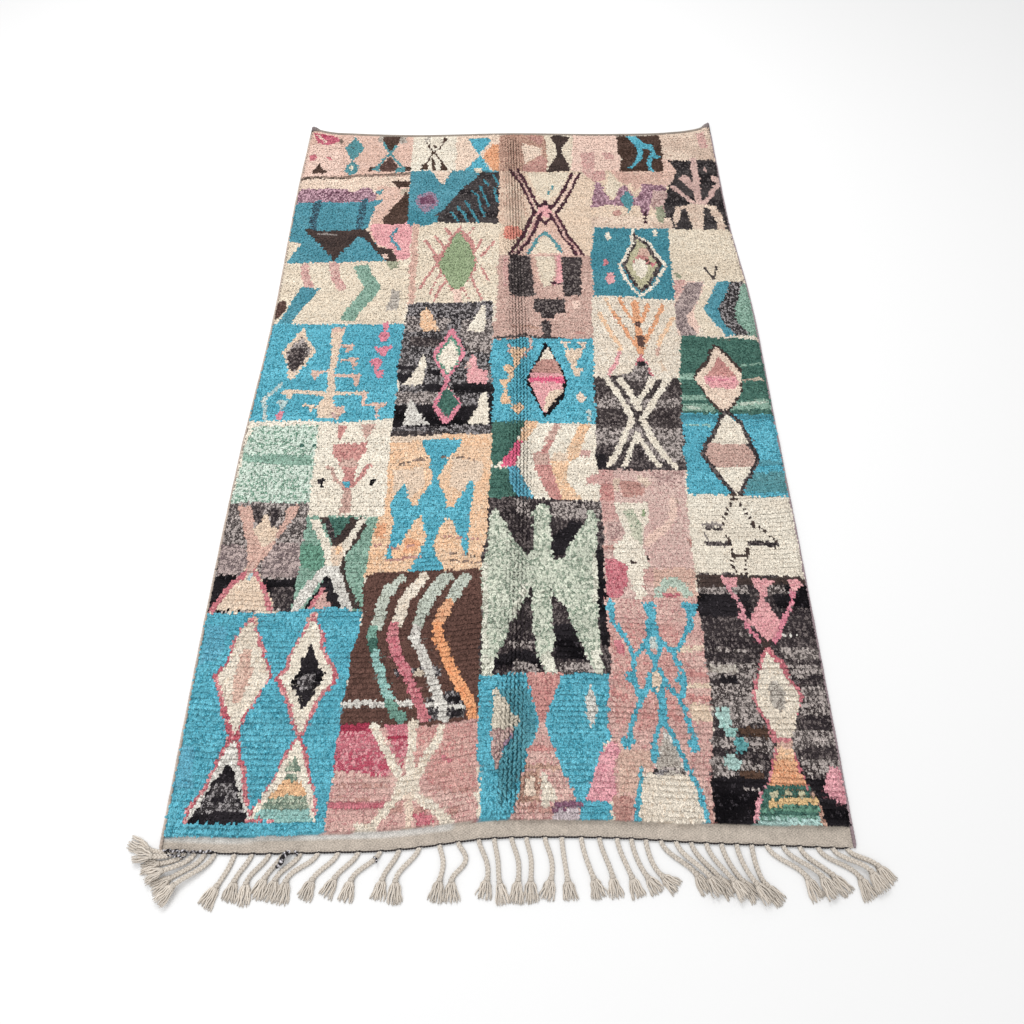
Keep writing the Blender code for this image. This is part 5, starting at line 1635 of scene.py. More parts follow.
@dataclass
class Pile:
    """The knotted pile: a knot is four leaning ends of yarn, closed spindles that overlap like shingles."""

    cloth: Cloth
    chart: Chart
    knots_across: int = 152
    knot_rows: int = 189
    end_width: float = 0.0078
    end_row: float = 0.0065
    root_back: float = 0.0080
    tip_ahead: float = 0.0058
    shoulder_drop: float = 0.0014
    tip_drop: float = 0.0019
    root_drop: float = 0.0036
    jitter: float = 0.0009
    unevenness: float = 0.0004
    row_dip: float = 0.0026
    far_calm: float = 0.85
    twist: float = 0.42
    crease_pull: float = 0.42
    crease_dip: float = 0.0012
    # Painted shade at the sides of the yarn ends over the crease, in the grooves between its ribs.
    rib_shade: float = 0.42
    side_flare: float = 0.0035
    hem_clear: float = 0.0165
    # Painted shade on each yarn end, as shares of its dye: at the root, more at the roots of the lower rows
    # along the grooves, at the sides and at the tip; the top keeps the full dye.
    root_shade: float = 0.80
    row_shade: float = 0.55
    side_shade: float = 0.90
    tip_shade: float = 0.94
    ground: float = 0.0056
    shortest: float = 0.003
    lower_shift: float = 0.22
    row_slip: float = 0.25
    first_row: float = 0.0003
    row_drift: float = 0.0016
    side_reach: float = 0.008
    heading_clear: float = 0.0035
    strip_edges: tuple[float, ...] = (-0.36, -0.055, 0.245, 0.52)

    def places(self, noise: np.random.Generator) -> dict[str, Array]:
        """Plan place of each yarn end, from a grid of knots of two by two ends.

        Args:
            noise: Source of the small irregularities.

        Returns:
            Arrays by name: x, y, along, half (side of its knot), lower (which row) and fold (crease share).
        """
        ends = 2 * self.knots_across
        row, end = np.meshgrid(np.arange(2 * self.knot_rows), np.arange(ends), indexing="ij")
        half = np.where(end % 2, 0.5, -0.5)
        lower = (row + 1) % 2
        along = (row + 0.5) / (2 * self.knot_rows) + self.first_row
        straight = self.cloth.crease((end / ends - 0.5) * 2 * self.cloth.half_width, along)
        slip = noise.uniform(-self.row_slip, self.row_slip, (len(row), 1)) * (1 - ease(straight, 0.0, 0.3))
        shift = np.where(lower, self.lower_shift, 0.0)
        across = (end // 2 + 0.5 + 0.5 * half + shift + slip) / self.knots_across
        across = np.clip(across, 0.001, 0.999)
        x, y = self.cloth.plan(across, along)
        fold = self.cloth.crease(x, along)
        knot = (self.cloth.half_width * 2) / self.knots_across
        x = x - half * knot * self.crease_pull * fold
        x = x + noise.normal(0, self.jitter, x.shape) * (1 - 0.5 * fold)
        y = y + (self.row_drift * drift(x, y, 0.11, 0.02, 21) + noise.normal(0, self.jitter, x.shape))
        inside = self.cloth.from_side(x, along)
        outward = np.where(x > 0, 1.0, -1.0) * self.side_flare * (1 - ease(inside, 0.0, self.side_reach))
        x = x + outward * noise.uniform(0.0, 1.0, x.shape)
        beyond = self.cloth.from_heading(x, y)
        kept = (beyond > self.heading_clear) & (self.cloth.far_edge(x) - y > self.hem_clear)
        found = {"x": x, "y": y, "along": along, "half": half, "lower": lower, "fold": fold}
        return {name: np.broadcast_to(value, x.shape)[kept] for name, value in found.items()}

    def build(self) -> list[bpy.types.Object]:
        """Every yarn end as five points: root, left, right and top of its shoulder, and tip.

        The shoulder lies at the end's plan place with its top at the pile's height; the root is behind and
        below it, the tip ahead of it and lower.
        """
        noise = np.random.default_rng(3)
        spots = self.places(noise)
        x, y, fold = spots["x"], spots["y"], spots["fold"]
        count = len(x)
        wool = self.chart.wools(x, y, noise)
        shag = self.chart.shag(wool)
        rise = self.chart.rise(x, y)
        colours, fibres = self.chart.dyed(wool, x, y, noise)
        top = self.cloth.pile_height(x, y, spots["along"])
        top = top + noise.normal(0, self.unevenness, count) * (1 + shag) + rise
        groove = np.clip(0.5 + 1.1 * drift(x, y, 0.07, 0.026, 33), 0.0, 1.3)
        groove = groove * (1 - self.far_calm * ease(y, 0.1, 1.1)) * (1 - 0.7 * fold)
        top = top - self.row_dip * groove * spots["lower"] - self.crease_dip * fold * (spots["half"] > 0)
        top = np.maximum(top, self.ground + self.cloth.crease_lift * fold + self.shortest)
        over = np.clip(groove, 0, 1) * (1 - spots["lower"])
        turn = noise.normal(0, self.twist, count) * (1 + 0.6 * shag)
        turn += 0.35 * drift(x, y, 0.05, 0.03, 31)
        ahead = np.stack([np.sin(turn), -np.cos(turn)], -1)
        side = np.stack([np.cos(turn), np.sin(turn)], -1)
        size = 1 + 0.12 * noise.normal(0, 1, count) + 0.10 * shag
        here = np.stack([x, y], -1)
        half_width = (0.5 * self.end_width * size * (1 - 0.12 * fold))[:, None]
        reach = (self.tip_ahead * size * (1 + 0.5 * shag))[:, None]
        back = self.root_back * noise.uniform(0.8, 1.1, count)[:, None]
        rows = [
            (here - ahead * back, np.maximum(top - self.root_drop, 0.001)),
            (here - side * half_width, top - self.shoulder_drop),
            (here + side * half_width, top - self.shoulder_drop),
            (here, top),
            (here + ahead * reach, np.maximum(top - self.tip_drop * (1 - 0.7 * over), 0.002)),
        ]
        points = np.stack([self.cloth.to_row(plan[:, 0], plan[:, 1], z) for plan, z in rows], axis=1)
        # Painted shade: root, sides and tip darker than the top, and the roots of the lower rows darker along
        # the row grooves.
        shades = np.tile([self.root_shade, self.side_shade, self.side_shade, 1.0, self.tip_shade], (count, 1))
        shades[:, 0] -= self.row_shade * groove * spots["lower"]
        # Painted shade: the sides darker over the crease, in the grooves between its ribs.
        shades[:, 1:3] -= self.rib_shade * fold[:, None]
        glow = 1 + noise.normal(0, 0.06, count)
        lit = (shades * glow[:, None])[:, :, None]
        fibres = np.repeat(fibres[:, None, :], lit.shape[1], axis=1)
        fibres[..., :3] *= lit
        dyes = np.clip(colours[:, None, :] * lit, 0.0, 1.0)
        return self.split(points, dyes, np.clip(fibres, 0.0, 1.0), x, y)

    def split(self, points: Array, dyes: Array, fibres: Array, x: Array, y: Array) -> list[bpy.types.Object]:
        """One piece for each lengthwise strip of patches, with every yarn end in its own cell of the map.

        Args:
            points: Five points for each end.
            dyes: Their colours.
            fibres: Colours and shares of their other fibres.
            x: Plan places across.
            y: Plan places along.

        Returns:
            The pieces.
        """
        pattern = np.array([(0, 1, 3), (0, 3, 2), (4, 3, 1), (4, 2, 3), (0, 2, 1), (4, 1, 2)])
        laid = np.array([
            [(0.5, 1.0), (0.0, 0.5), (0.5, 0.5)], [(0.5, 1.0), (0.5, 0.5), (1.0, 0.5)],
            [(0.5, 0.0), (0.5, 0.5), (0.0, 0.5)], [(0.5, 0.0), (1.0, 0.5), (0.5, 0.5)],
            [(0.0, 1.0), (0.42, 1.0), (0.0, 0.58)], [(0.0, 0.0), (0.0, 0.42), (0.42, 0.0)],
        ])
        strip = np.searchsorted(self.strip_edges, x)
        finish = PileFinish("pile_wool").make()
        made = []
        for number in range(len(self.strip_edges) + 1):
            chosen = np.flatnonzero(strip == number)
            chosen = chosen[np.lexsort((x[chosen], np.round(y[chosen] / self.end_row)))]
            cells = int(np.ceil(np.sqrt(len(chosen))))
            cell = np.arange(len(chosen))
            corner = np.stack([cell % cells, cell // cells], -1)[:, None, None, :]
            places = (corner + 0.06 + 0.88 * laid) / cells
            faces = (pattern[None] + 5 * cell[:, None, None]).reshape(-1, 3)
            made.append(make_piece(
                f"pile_strip_{number + 1}", points[chosen], faces, dyes[chosen], [finish],
                places=places.reshape(-1, 2), fibres=fibres[chosen].reshape(-1, 4), smooth=False,
            ))
        return made


@dataclass
class RolledHem:
    """The far end's rolled hem, overcast all along: a flattened tube with a rib for each stitch."""

    cloth: Cloth
    half_width: float = 0.0072
    half_height: float = 0.0078
    stitch: float = 0.0075
    rings_a_stitch: int = 4
    grey: Colour = (158, 147, 136)
    ear: Colour = (132, 120, 122)
    bulge: float = 0.35
    inset: float = 0.002
    clear: float = 0.0002

    def build(self) -> bpy.types.Object:
        """The hem from one far corner to the other.

        Its centre keeps half a width inside the far edge, and its section swells by |sin| of each stitch.
        """
        left, right = self.cloth.plan(np.array([0.0, 1.0]), np.array([1.0, 1.0]))[0]
        count = int((right - left) / self.stitch) * self.rings_a_stitch
        x = np.linspace(left + self.inset, right - self.inset, count)
        y = self.cloth.far_edge(x) - self.half_width
        swell = 0.86 + 0.14 * np.abs(np.sin(np.pi * np.arange(count) / self.rings_a_stitch))
        inside = np.minimum(x - left, right - x)
        end = (0.6 + 0.4 * ease(inside, 0.0, 0.004)) * (1 + self.bulge * (1 - ease(inside, 0.012, 0.03)))
        across, up = self.half_width * swell * end, self.half_height * swell * end
        centre = self.cloth.to_row(x, y, up + self.clear)
        tube = Tube(8)
        points = tube.points(centre[None], across[None], up[None])
        tint = ease(inside, 0.0, 0.05)[:, None]
        colours = linear(self.ear) * (1 - tint) + linear(self.grey) * tint
        shade = 0.86 + 0.14 * drift(x, y, 0.02, 0.1, 8)
        # Painted shade: the colour is also times swell, darker between the stitches; shade here is a random
        # drift in tone.
        colours = np.repeat((colours * shade[:, None] * swell[:, None])[:, None, :], tube.sides, axis=1)
        return make_piece(
            "rolled_hem", points, tube.faces(1, count), colours,
            [CordFinish("hem_wool").make()],
        )


@dataclass
class Selvedge:
    """One overcast side cord: a tube whose ribs wind round it, ending in a point at the far corner."""

    cloth: Cloth
    name: str
    side: float
    colour: Colour
    ear: Colour = (92, 84, 82)
    gap: float = 0.0003
    radius: float = 0.0035
    ear_reach: float = 0.012
    wrap: float = 0.0085
    rib: float = 0.16
    rings: int = 900

    def build(self) -> bpy.types.Object:
        """The cord along its edge: radius times 1 + rib·sin(angle + turns), thinning at both ends."""
        outward = 1.0 if self.side else -1.0
        share = np.linspace(0.0, 1.0, self.rings)
        along = np.minimum(share * (1 + self.ear_reach / self.cloth.length), 1.0)
        x, y = self.cloth.plan(np.full(self.rings, self.side), along)
        run = share * (self.cloth.length + self.ear_reach)
        past = np.clip((run - self.cloth.length) / self.ear_reach, 0, 1)
        x = x + outward * (self.gap + self.radius + 0.3 * self.ear_reach * past)
        y = y + self.ear_reach * past
        radius = self.radius * (1 - 0.4 * (1 - ease(share, 0.0, 0.004))) * (1 - 0.65 * past)
        radius = radius * (1 + 0.10 * drift(y, y, 0.03, 0.5, 17))
        tube = Tube(7)
        turn = 2 * np.pi * (np.arange(tube.sides) + 0.5) / tube.sides
        rib = 1 + self.rib * np.sin(turn[None, :] + (2 * np.pi * y / self.wrap)[:, None])
        centre = self.cloth.to_row(x, y, radius * (1 + self.rib))
        rings = tube.points(centre[None], radius[None], radius[None])[0]
        points = centre[:, None, :] + (rings - centre[:, None, :]) * rib[..., None]
        tint = ease(self.cloth.length - y + 0.03, 0.0, 0.05)[:, None, None]
        # Painted shade: the colour follows the ribs, lighter on them and darker in the grooves between them,
        # times a random drift in tone.
        shade = (rib - 0.16 * 0.4) * (1 + 0.12 * drift(y, y, 0.012, 0.9, 19))[:, None]
        colours = (linear(self.ear) * (1 - tint) + linear(self.colour) * tint) * shade[..., None]
        piece = make_piece(
            self.name + "_wrapped", points, tube.faces(1, self.rings), np.clip(colours, 0, 1),
            [CordFinish(self.name + "_wool").make()],
        )
        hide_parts(self.name)
        return piece


@dataclass
class Twine:
    """The dark two-ply twine along the near edge, which arches over the root of every cord."""

    cloth: Cloth
    roots: Array
    gap: float = 0.0003
    strip_height: float = 0.0014
    radius: float = 0.0019
    ply_radius: float = 0.0011
    pitch: float = 0.0125
    hump: float = 0.0020
    arch: float = 0.0016
    root_width: float = 0.0065
    steps_a_turn: int = 8
    before_first: float = 0.006
    past_last: float = 0.008
    colour: Colour = (52, 46, 46)

    def build(self) -> bpy.types.Object:
        """Two plies, each the path plus ply radius times cos and sin of its turn, half a turn apart."""
        start, end = self.roots[0] - self.before_first, self.roots[-1] + self.past_last
        count = int((end - start) / self.pitch * self.steps_a_turn)
        x = np.linspace(start, end, count)
        nearest = np.abs(x[:, None] - self.roots).min(axis=1)
        hump = 1 - ease(nearest, 0.2 * self.root_width, 1.5 * self.root_width)
        y = self.cloth.near_face(x) - self.gap - 1.05 * self.radius + self.arch * hump
        z = self.strip_height + self.gap + self.radius + self.hump * hump
        turn = 2 * np.pi * x / self.pitch + np.pi * np.arange(2)[:, None]
        ply = 0.92 * self.ply_radius
        centre = self.cloth.to_row(x[None], y + ply * np.cos(turn), z + ply * np.sin(turn))
        tube = Tube(5)
        thick = np.full(turn.shape, self.ply_radius)
        points = tube.points(centre, thick, thick)
        shade = (1 + 0.25 * drift(x, y, 0.007, 1.0, 23))[None, :, None, None]
        colours = np.broadcast_to(linear(self.colour) * shade, points.shape)
        piece = make_piece(
            "twined_edge_plied", points, tube.faces(2, count), colours,
            [CordFinish("dark_twine").make()],
        )
        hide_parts("twined_edge")
        return piece


@dataclass(frozen=True)
class Bunch:
    """Neighbouring cords of the fringe: even roots, heads and tips from first to last, in millimetres.

    bow pushes a cord's middle to the right; in a stacked bunch every second cord lies on its neighbours.
    """

    cords: int
    first_root: float
    last_root: float
    first_head: tuple[float, float]
    last_head: tuple[float, float]
    first_tip: tuple[float, float]
    last_tip: tuple[float, float]
    bow: float
    stacked: bool

    def lines(self) -> list[tuple[float, Array, Array, float, bool]]:
        """Root, head, tip, bow and whether it is lifted, for each cord, in metres."""
        shares = np.linspace(0, 1, self.cords)

        def between(first: object, last: object, share: float) -> Array:
            """Place at a share of the way from first to last."""
            return ((1 - share) * np.array(first, float) + share * np.array(last, float)) * MILLIMETRE

        return [
            (
                float(between(self.first_root, self.last_root, share)),
                between(self.first_head, self.last_head, share),
                between(self.first_tip, self.last_tip, share),
                self.bow * MILLIMETRE,
                self.stacked and number % 2 == 1,
            )
            for number, share in enumerate(shares)
        ]


BUNCHES = (
    Bunch(6, -745, -640, (-781, -9), (-708, -74), (-829, 6), (-742, -109), 0, True),
    Bunch(1, -598, -598, (-622, -74), (-622, -74), (-646, -116), (-646, -116), 0, False),
    Bunch(2, -560, -523, (-588, -64), (-563, -68), (-597, -107), (-566, -115), 0, False),
    Bunch(3, -494, -419, (-524, -58), (-480, -64), (-541, -102), (-488, -112), 0, False),
    Bunch(1, -376, -376, (-424, -62), (-424, -62), (-440, -104), (-440, -104), 0, False),
    Bunch(2, -333, -286, (-376, -58), (-342, -62), (-396, -98), (-354, -107), 0, False),
    Bunch(2, -246, -203, (-277, -61), (-250, -64), (-285, -104), (-249, -111), 0, False),
    Bunch(1, -161, -161, (-156, -62), (-156, -62), (-165, -108), (-165, -108), 6, False),
    Bunch(1, -122, -122, (-132, -63), (-132, -63), (-131, -109), (-131, -109), 24, False),
    Bunch(2, -77, -43, (-56, -61), (-32, -66), (-65, -102), (-22, -112), 4, False),
    Bunch(2, -6, 26, (9, -62), (35, -62), (4, -110), (34, -110), 5, False),
    Bunch(1, 66, 66, (79, -60), (79, -60), (67, -103), (67, -103), 4, False),
    Bunch(1, 103, 103, (112, -62), (112, -62), (117, -105), (117, -105), 0, False),
    Bunch(2, 145, 184, (166, -59), (207, -56), (181, -101), (214, -101), 0, False),
    Bunch(3, 222, 284, (247, -57), (310, -57), (262, -99), (344, -83), 0, False),
    Bunch(7, 316, 511, (383, -52), (527, -73), (408, -90), (558, -110), 0, True),
    Bunch(3, 543, 613, (616, -58), (670, -54), (636, -104), (702, -93), 0, True),
    Bunch(3, 652, 714, (728, -58), (770, -36), (746, -103), (797, -75), 0, True),
)


@dataclass
class Fringe:
    """The near fringe: plaited warp cords, each wound at its head and opening into a tassel of yarns."""

    cloth: Cloth
    plait_steps: int = 34
    strand_radius: float = 0.0026
    sway: float = 0.0032
    dip: float = 0.0016
    plait_pitch: float = 0.021
    root_share: float = 0.42
    root_run: float = 0.012
    root_inside: float = 0.004
    stack_lift: float = 0.0104
    neck: float = 0.005
    yarns: int = 17
    yarn_steps: int = 9
    yarn_radius: float = 0.0018
    shoulder: float = 0.0215
    spread: float = 0.0345
    wave: float = 0.0012
    stray: float = 0.0009
    wound_turns: float = 2.6
    wound_steps: int = 26
    wound_radius: float = 0.0013
    wound_length: float = 0.0050
    cream: Colour = (212, 202, 190)

    def strands(self) -> list[tuple[float, Array, Array, float, bool]]:
        """Every cord's root, head, tip, bow and whether it is lifted, from left to right."""
        return [line for bunch in BUNCHES for line in bunch.lines()]

    def roots(self) -> Array:
        """The x of every cord's root."""
        return np.array([line[0] for line in self.strands()])

    def paths(self) -> dict[str, Array]:
        """Centre lines of the cords: cubics that leave square to the edge and arrive along the tassel.

        Returns:
            Arrays by name: place (cords, steps, 2), lift, onward (direction of the tassel), head and tip.
        """
        lines = self.strands()
        root_x = self.roots()
        root = np.stack([root_x, self.cloth.near_face(root_x) + self.root_inside], -1)
        head, tip = (np.array([line[k] for line in lines]) for k in (1, 2))
        bow = np.array([line[3] for line in lines])
        lift = np.array([self.stack_lift * line[4] for line in lines])
        onward = (tip - head) / np.linalg.norm(tip - head, axis=1, keepdims=True)
        head = head + self.neck * onward
        reach = np.linalg.norm(head - root, axis=1)[:, None, None]
        t = np.linspace(0, 1, self.plait_steps)[None, :, None]
        leave, arrive = np.array([0.0, -1.0]) * reach, onward[:, None, :] * 0.9 * reach
        place = (1 + 2 * t) * (1 - t) ** 2 * root[:, None] + t * (1 - t) ** 2 * leave
        place = place + t * t * (3 - 2 * t) * head[:, None] - t * t * (1 - t) * arrive
        place[..., 0] += bow[:, None] * np.sin(np.pi * t[..., 0]) ** 2
        rise = lift[:, None] * ease(t[..., 0], 0, 1)
        return {"place": place, "rise": rise, "lift": lift, "onward": onward, "head": head, "tip": tip}

    def plaits(self, paths: dict[str, Array]) -> tuple[Array, Array]:
        """Three strands a cord: the path plus sway·sin(s) sideways and dip·sin(2s) up, a third turn apart.

        Args:
            paths: The centre lines.

        Returns:
            Points and shades of the strands.
        """
        place = paths["place"]
        step = np.gradient(place, axis=1)
        run = np.cumsum(np.linalg.norm(step, axis=-1), axis=1)
        ahead = step / np.linalg.norm(step, axis=-1, keepdims=True)
        side = leftward(ahead)
        grow = self.root_share + (1 - self.root_share) * ease(run, 0.0, self.root_run)
        turn = 2 * np.pi * (run[:, None] / self.plait_pitch + np.arange(3)[None, :, None] / 3)
        plan = place[:, None] + side[:, None] * (self.sway * grow[:, None] * np.sin(turn))[..., None]
        middle = (self.strand_radius + self.dip) * grow
        z = paths["rise"][:, None] + middle[:, None] + self.dip * grow[:, None] * np.sin(2 * turn)
        centre = self.cloth.to_row(plan[..., 0], plan[..., 1], z)
        centre = centre.reshape(-1, self.plait_steps, 3)
        thick = np.repeat((self.strand_radius * grow)[:, None], 3, axis=1).reshape(-1, self.plait_steps)
        points = Tube(5).points(centre, thick, thick)
        # Painted shade: each strand darker where it dips under the others.
        depth = (0.80 + 0.2 * np.sin(2 * turn)).reshape(-1, self.plait_steps)
        return points, depth

    def tassels(self, paths: dict[str, Array], noise: np.random.Generator) -> tuple[Array, Array]:
        """Loose yarns from each head: they fan to the shoulder's width, wave, sink to the floor and taper.

        Args:
            paths: The centre lines.
            noise: Source of the irregularities.

        Returns:
            Points and shades of the yarns.
        """
        cords = len(paths["head"])
        shape = (cords, self.yarns, 1)
        share = ((np.arange(self.yarns) + 0.5) / self.yarns - 0.5)[None, :, None]
        share = share + noise.normal(0, 0.03, shape)
        t = np.linspace(0, 1, self.yarn_steps)[None, None, :]
        onward = paths["onward"][:, None, None, :]
        side = leftward(onward)
        length = np.linalg.norm(paths["tip"] - paths["head"], axis=1)[:, None, None]
        length = length * (1.02 - 0.22 * share**2 * 4 * 0.25 + noise.uniform(-0.10, 0.05, shape))
        fan = 0.42 * self.shoulder * (1 - ease(t, 0.0, 0.28)) + self.shoulder * ease(t, 0.0, 0.28)
        fan = fan + (self.spread - self.shoulder) * ease(t, 0.2, 1.0)
        turns = t * noise.uniform(0.8, 1.9, shape) + noise.uniform(0, 1, shape)
        wave = self.wave * np.sin(2 * np.pi * turns) + noise.normal(0, self.stray, shape) * t
        plan = paths["head"][:, None, None, :] + onward * (length * t)[..., None]
        plan = plan + side * (share * fan + wave * ease(t, 0.0, 0.3))[..., None]
        layer = (np.arange(self.yarns) % 3)[None, :, None] + noise.uniform(-0.2, 0.2, shape)
        high = self.yarn_radius * (1 + 1.25 * layer) * (1 - 0.45 * ease(t, 0.3, 1.0))
        high = np.maximum(high + 0.0004 * np.sin(9 * t + 7 * layer), self.yarn_radius)
        z = paths["lift"][:, None, None] * (1 - 0.12 * t) + high
        centre = self.cloth.to_row(plan[..., 0], plan[..., 1], z).reshape(-1, self.yarn_steps, 3)
        thick = self.yarn_radius * (1.0 - 0.42 * ease(t, 0.75, 1.0)) * noise.uniform(0.85, 1.12, shape)
        thick = np.broadcast_to(thick, (cords, self.yarns, self.yarn_steps)).reshape(-1, self.yarn_steps)
        points = Tube(4).points(centre, thick, thick)
        # Painted shade: yarns in the lower layers of a tassel are darker than those lying on them.
        shade = np.broadcast_to(0.78 + 0.10 * layer + 0 * t, (cords, self.yarns, self.yarn_steps))
        return points, shade.reshape(-1, self.yarn_steps)

    def windings(self, paths: dict[str, Array]) -> tuple[Array, Array]:
        """A yarn wound round each head: the neck plus an ellipse that advances along it."""
        cords = len(paths["head"])
        t = np.linspace(0, 1, self.wound_steps)[None, :]
        turn = 2 * np.pi * self.wound_turns * t
        onward = paths["onward"][:, None, :]
        side = leftward(onward)
        wide, tall = self.sway + self.strand_radius * 0.9, self.strand_radius + self.dip
        plan = paths["head"][:, None, :] + onward * (self.wound_length * (t - 0.7))[..., None]
        plan = plan + side * (wide * np.cos(turn))[..., None]
        z = paths["lift"][:, None] + self.wound_radius + tall * (1 + np.sin(turn))
        centre = self.cloth.to_row(plan[..., 0], plan[..., 1], z)
        thick = np.full((cords, self.wound_steps), self.wound_radius)
        points = Tube(4).points(centre, thick, thick)
        return points, np.full((cords, self.wound_steps), 0.9)

    def build(self) -> list[bpy.types.Object]:
        """The plaited cords and the tassels, as two pieces."""
        noise = np.random.default_rng(11)
        paths = self.paths()
        cords = len(paths["head"])
        finish = CordFinish("warp_yarn").make()
        tint = linear(self.cream)
        plait, depth = self.plaits(paths)
        rows = np.repeat(1 + noise.normal(0, 0.06, (cords * 3, 1)), self.plait_steps, axis=1) * depth
        colours = np.repeat((rows[..., None] * tint)[:, :, None, :], 5, axis=2)
        plaited = make_piece(
            "fringe_cords", plait, Tube(5).faces(cords * 3, self.plait_steps), np.clip(colours, 0, 1),
            [finish],
        )
        loose, shade = self.tassels(paths, noise)
        wound, ring_shade = self.windings(paths)
        shade = shade * np.repeat(1 + noise.normal(0, 0.07, (cords * self.yarns, 1)), self.yarn_steps, axis=1)
        loose_faces = Tube(4).faces(cords * self.yarns, self.yarn_steps)
        wound_faces = Tube(4).faces(cords, self.wound_steps) + loose.reshape(-1, 3).shape[0]
        tints = [
            np.repeat((value[..., None] * tint)[:, :, None, :], 4, axis=2).reshape(-1, 3)
            for value in (shade, ring_shade)
        ]
        tassels = make_piece(
            "fringe_tassels", np.concatenate([loose.reshape(-1, 3), wound.reshape(-1, 3)]),
            np.concatenate([loose_faces, wound_faces]), np.clip(np.concatenate(tints), 0, 1),
            [finish],
        )
        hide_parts("near_fringe")
        return [plaited, tassels]


@dataclass
class StrayYarns:
    """Loose two-coloured yarn ends caught in the near edge.

    A run is the x and y of its ends, its radius and how many times it wavers.
    """

    cloth: Cloth
    steps: int = 26
    wave: float = 0.0016
    height: float = 0.0095
    lift: float = 0.0012
    runs: tuple[tuple[float, ...], ...] = (
        (-0.750, -0.010, -0.694, -0.013, 0.0030, 3.5), (-0.706, -0.014, -0.640, -0.012, 0.0026, 4),
        (-0.742, -0.018, -0.700, -0.024, 0.0022, 3), (-0.480, -0.010, -0.502, -0.044, 0.0052, 1.6),
        (-0.486, -0.012, -0.496, -0.040, 0.0044, 1.3), (-0.468, -0.010, -0.461, -0.020, 0.0024, 1),
        (-0.297, -0.022, -0.290, -0.034, 0.0024, 1),
    )
    dark: Colour = (34, 30, 32)
    pale: Colour = (222, 218, 222)

    def build(self) -> bpy.types.Object:
        """Every run as a tube that wavers across its line and lies over the cords, dark and pale by turns."""
        noise = np.random.default_rng(19)
        runs = np.array(self.runs)
        t = np.linspace(0, 1, self.steps)[None, :]
        first, last = runs[:, None, :2], runs[:, None, 2:4]
        place = first + (last - first) * t[..., None]
        ahead = (last - first) / np.linalg.norm(last - first, axis=-1, keepdims=True)
        side = leftward(ahead)
        turn = 2 * np.pi * (runs[:, 5:6] * t + noise.uniform(0, 1, (len(runs), 1)))
        place = place + side * (self.wave * np.sin(turn))[..., None]
        thick = runs[:, 4:5] * (0.7 + 0.3 * np.sin(np.pi * t)) + 0 * turn
        z = self.height + thick + self.lift * np.cos(turn)
        centre = self.cloth.to_row(place[..., 0], place[..., 1], z)
        tube = Tube(6)
        points = tube.points(centre, thick, thick)
        speckle = np.sin(2.3 * turn)[..., None] + noise.uniform(-1.4, 1.4, (*turn.shape, tube.sides))
        colours = np.where((speckle > 0.8)[..., None], linear(self.pale), linear(self.dark))
        return make_piece(
            "stray_yarns", points, tube.faces(len(runs), self.steps), colours,
            [CordFinish("stray_wool").make()],
        )


@dataclass(frozen=True)
class PileFinish:
    """Pile wool: its dye, broken up by the yarn's fibres and those of its other colour, with a soft nap."""

    name: str
    marled: bool = True
    fibre_scale: float = 420.0
    fibre_share: float = 1.3
    marl_scale: float = 330.0
    marl_contrast: float = 14.0
    level: float = 0.97
    relief: float = 0.0005

    def make(self) -> bpy.types.Material:
        """The finish: dye times 1 + share·(noise - 0.5), with the same noise as its relief.

        In marled wool the other colour shows where a second noise is over a level that its share lowers.
        """
        recipe = Recipe(self.name, roughness=0.95, sheen=0.01)
        places = recipe.places()
        fibre = recipe.noise(places, self.fibre_scale, 2.0)
        colour = recipe.attribute("dye").outputs["Color"]
        if self.marled:
            other = recipe.attribute("fibres")
            level = 0.70 - recipe.value(other.outputs["Alpha"]) * 0.40
            shows = (recipe.noise(places, self.marl_scale, 3.0) - level) * self.marl_contrast + 0.5
            colour = recipe.mixed(shows, colour, other.outputs["Color"])
        colour = recipe.scaled(colour, (fibre - 0.5) * (2 * self.fibre_share) + self.level)
        return recipe.finish(colour, fibre, self.relief)


@dataclass(frozen=True)
class WeaveFinish:
    """Plain weave of the heading: fine weft rows over thicker warps, with flecks of darker wool."""

    warp: float = 0.0042
    weft: float = 0.0026
    uneven_cells: float = 60.0
    uneven: float = 0.004
    fibre_scale: float = 320.0
    cloud_scale: float = 45.0
    relief: float = 0.0009

    def make(self) -> bpy.types.Material:
        """The finish: the product of sines across and along gives the over-and-under of the threads."""
        recipe = Recipe("heading_weave", roughness=0.95, sheen=0.1)
        places = recipe.places()
        across, along = recipe.ripples(self.uneven_cells, self.uneven, 2 * self.warp, 2 * self.weft)
        thread = (across * along) * 0.5 + 0.5
        fibre = recipe.noise(places, self.fibre_scale, 4.0)
        cloud = recipe.noise(places, self.cloud_scale, 3.0)
        dye = recipe.attribute("dye").outputs["Color"]
        # Painted shade: the colour is lighter where a thread lies on top and darker where it dips under.
        share = thread * 0.16 + 0.74 + (fibre - 0.5) * 1.3 + (cloud - 0.5) * 0.5
        colour = recipe.scaled(dye, share.clamped(0.2, 1.5))
        return recipe.finish(colour, thread * 0.7 + fibre * 0.3, self.relief)


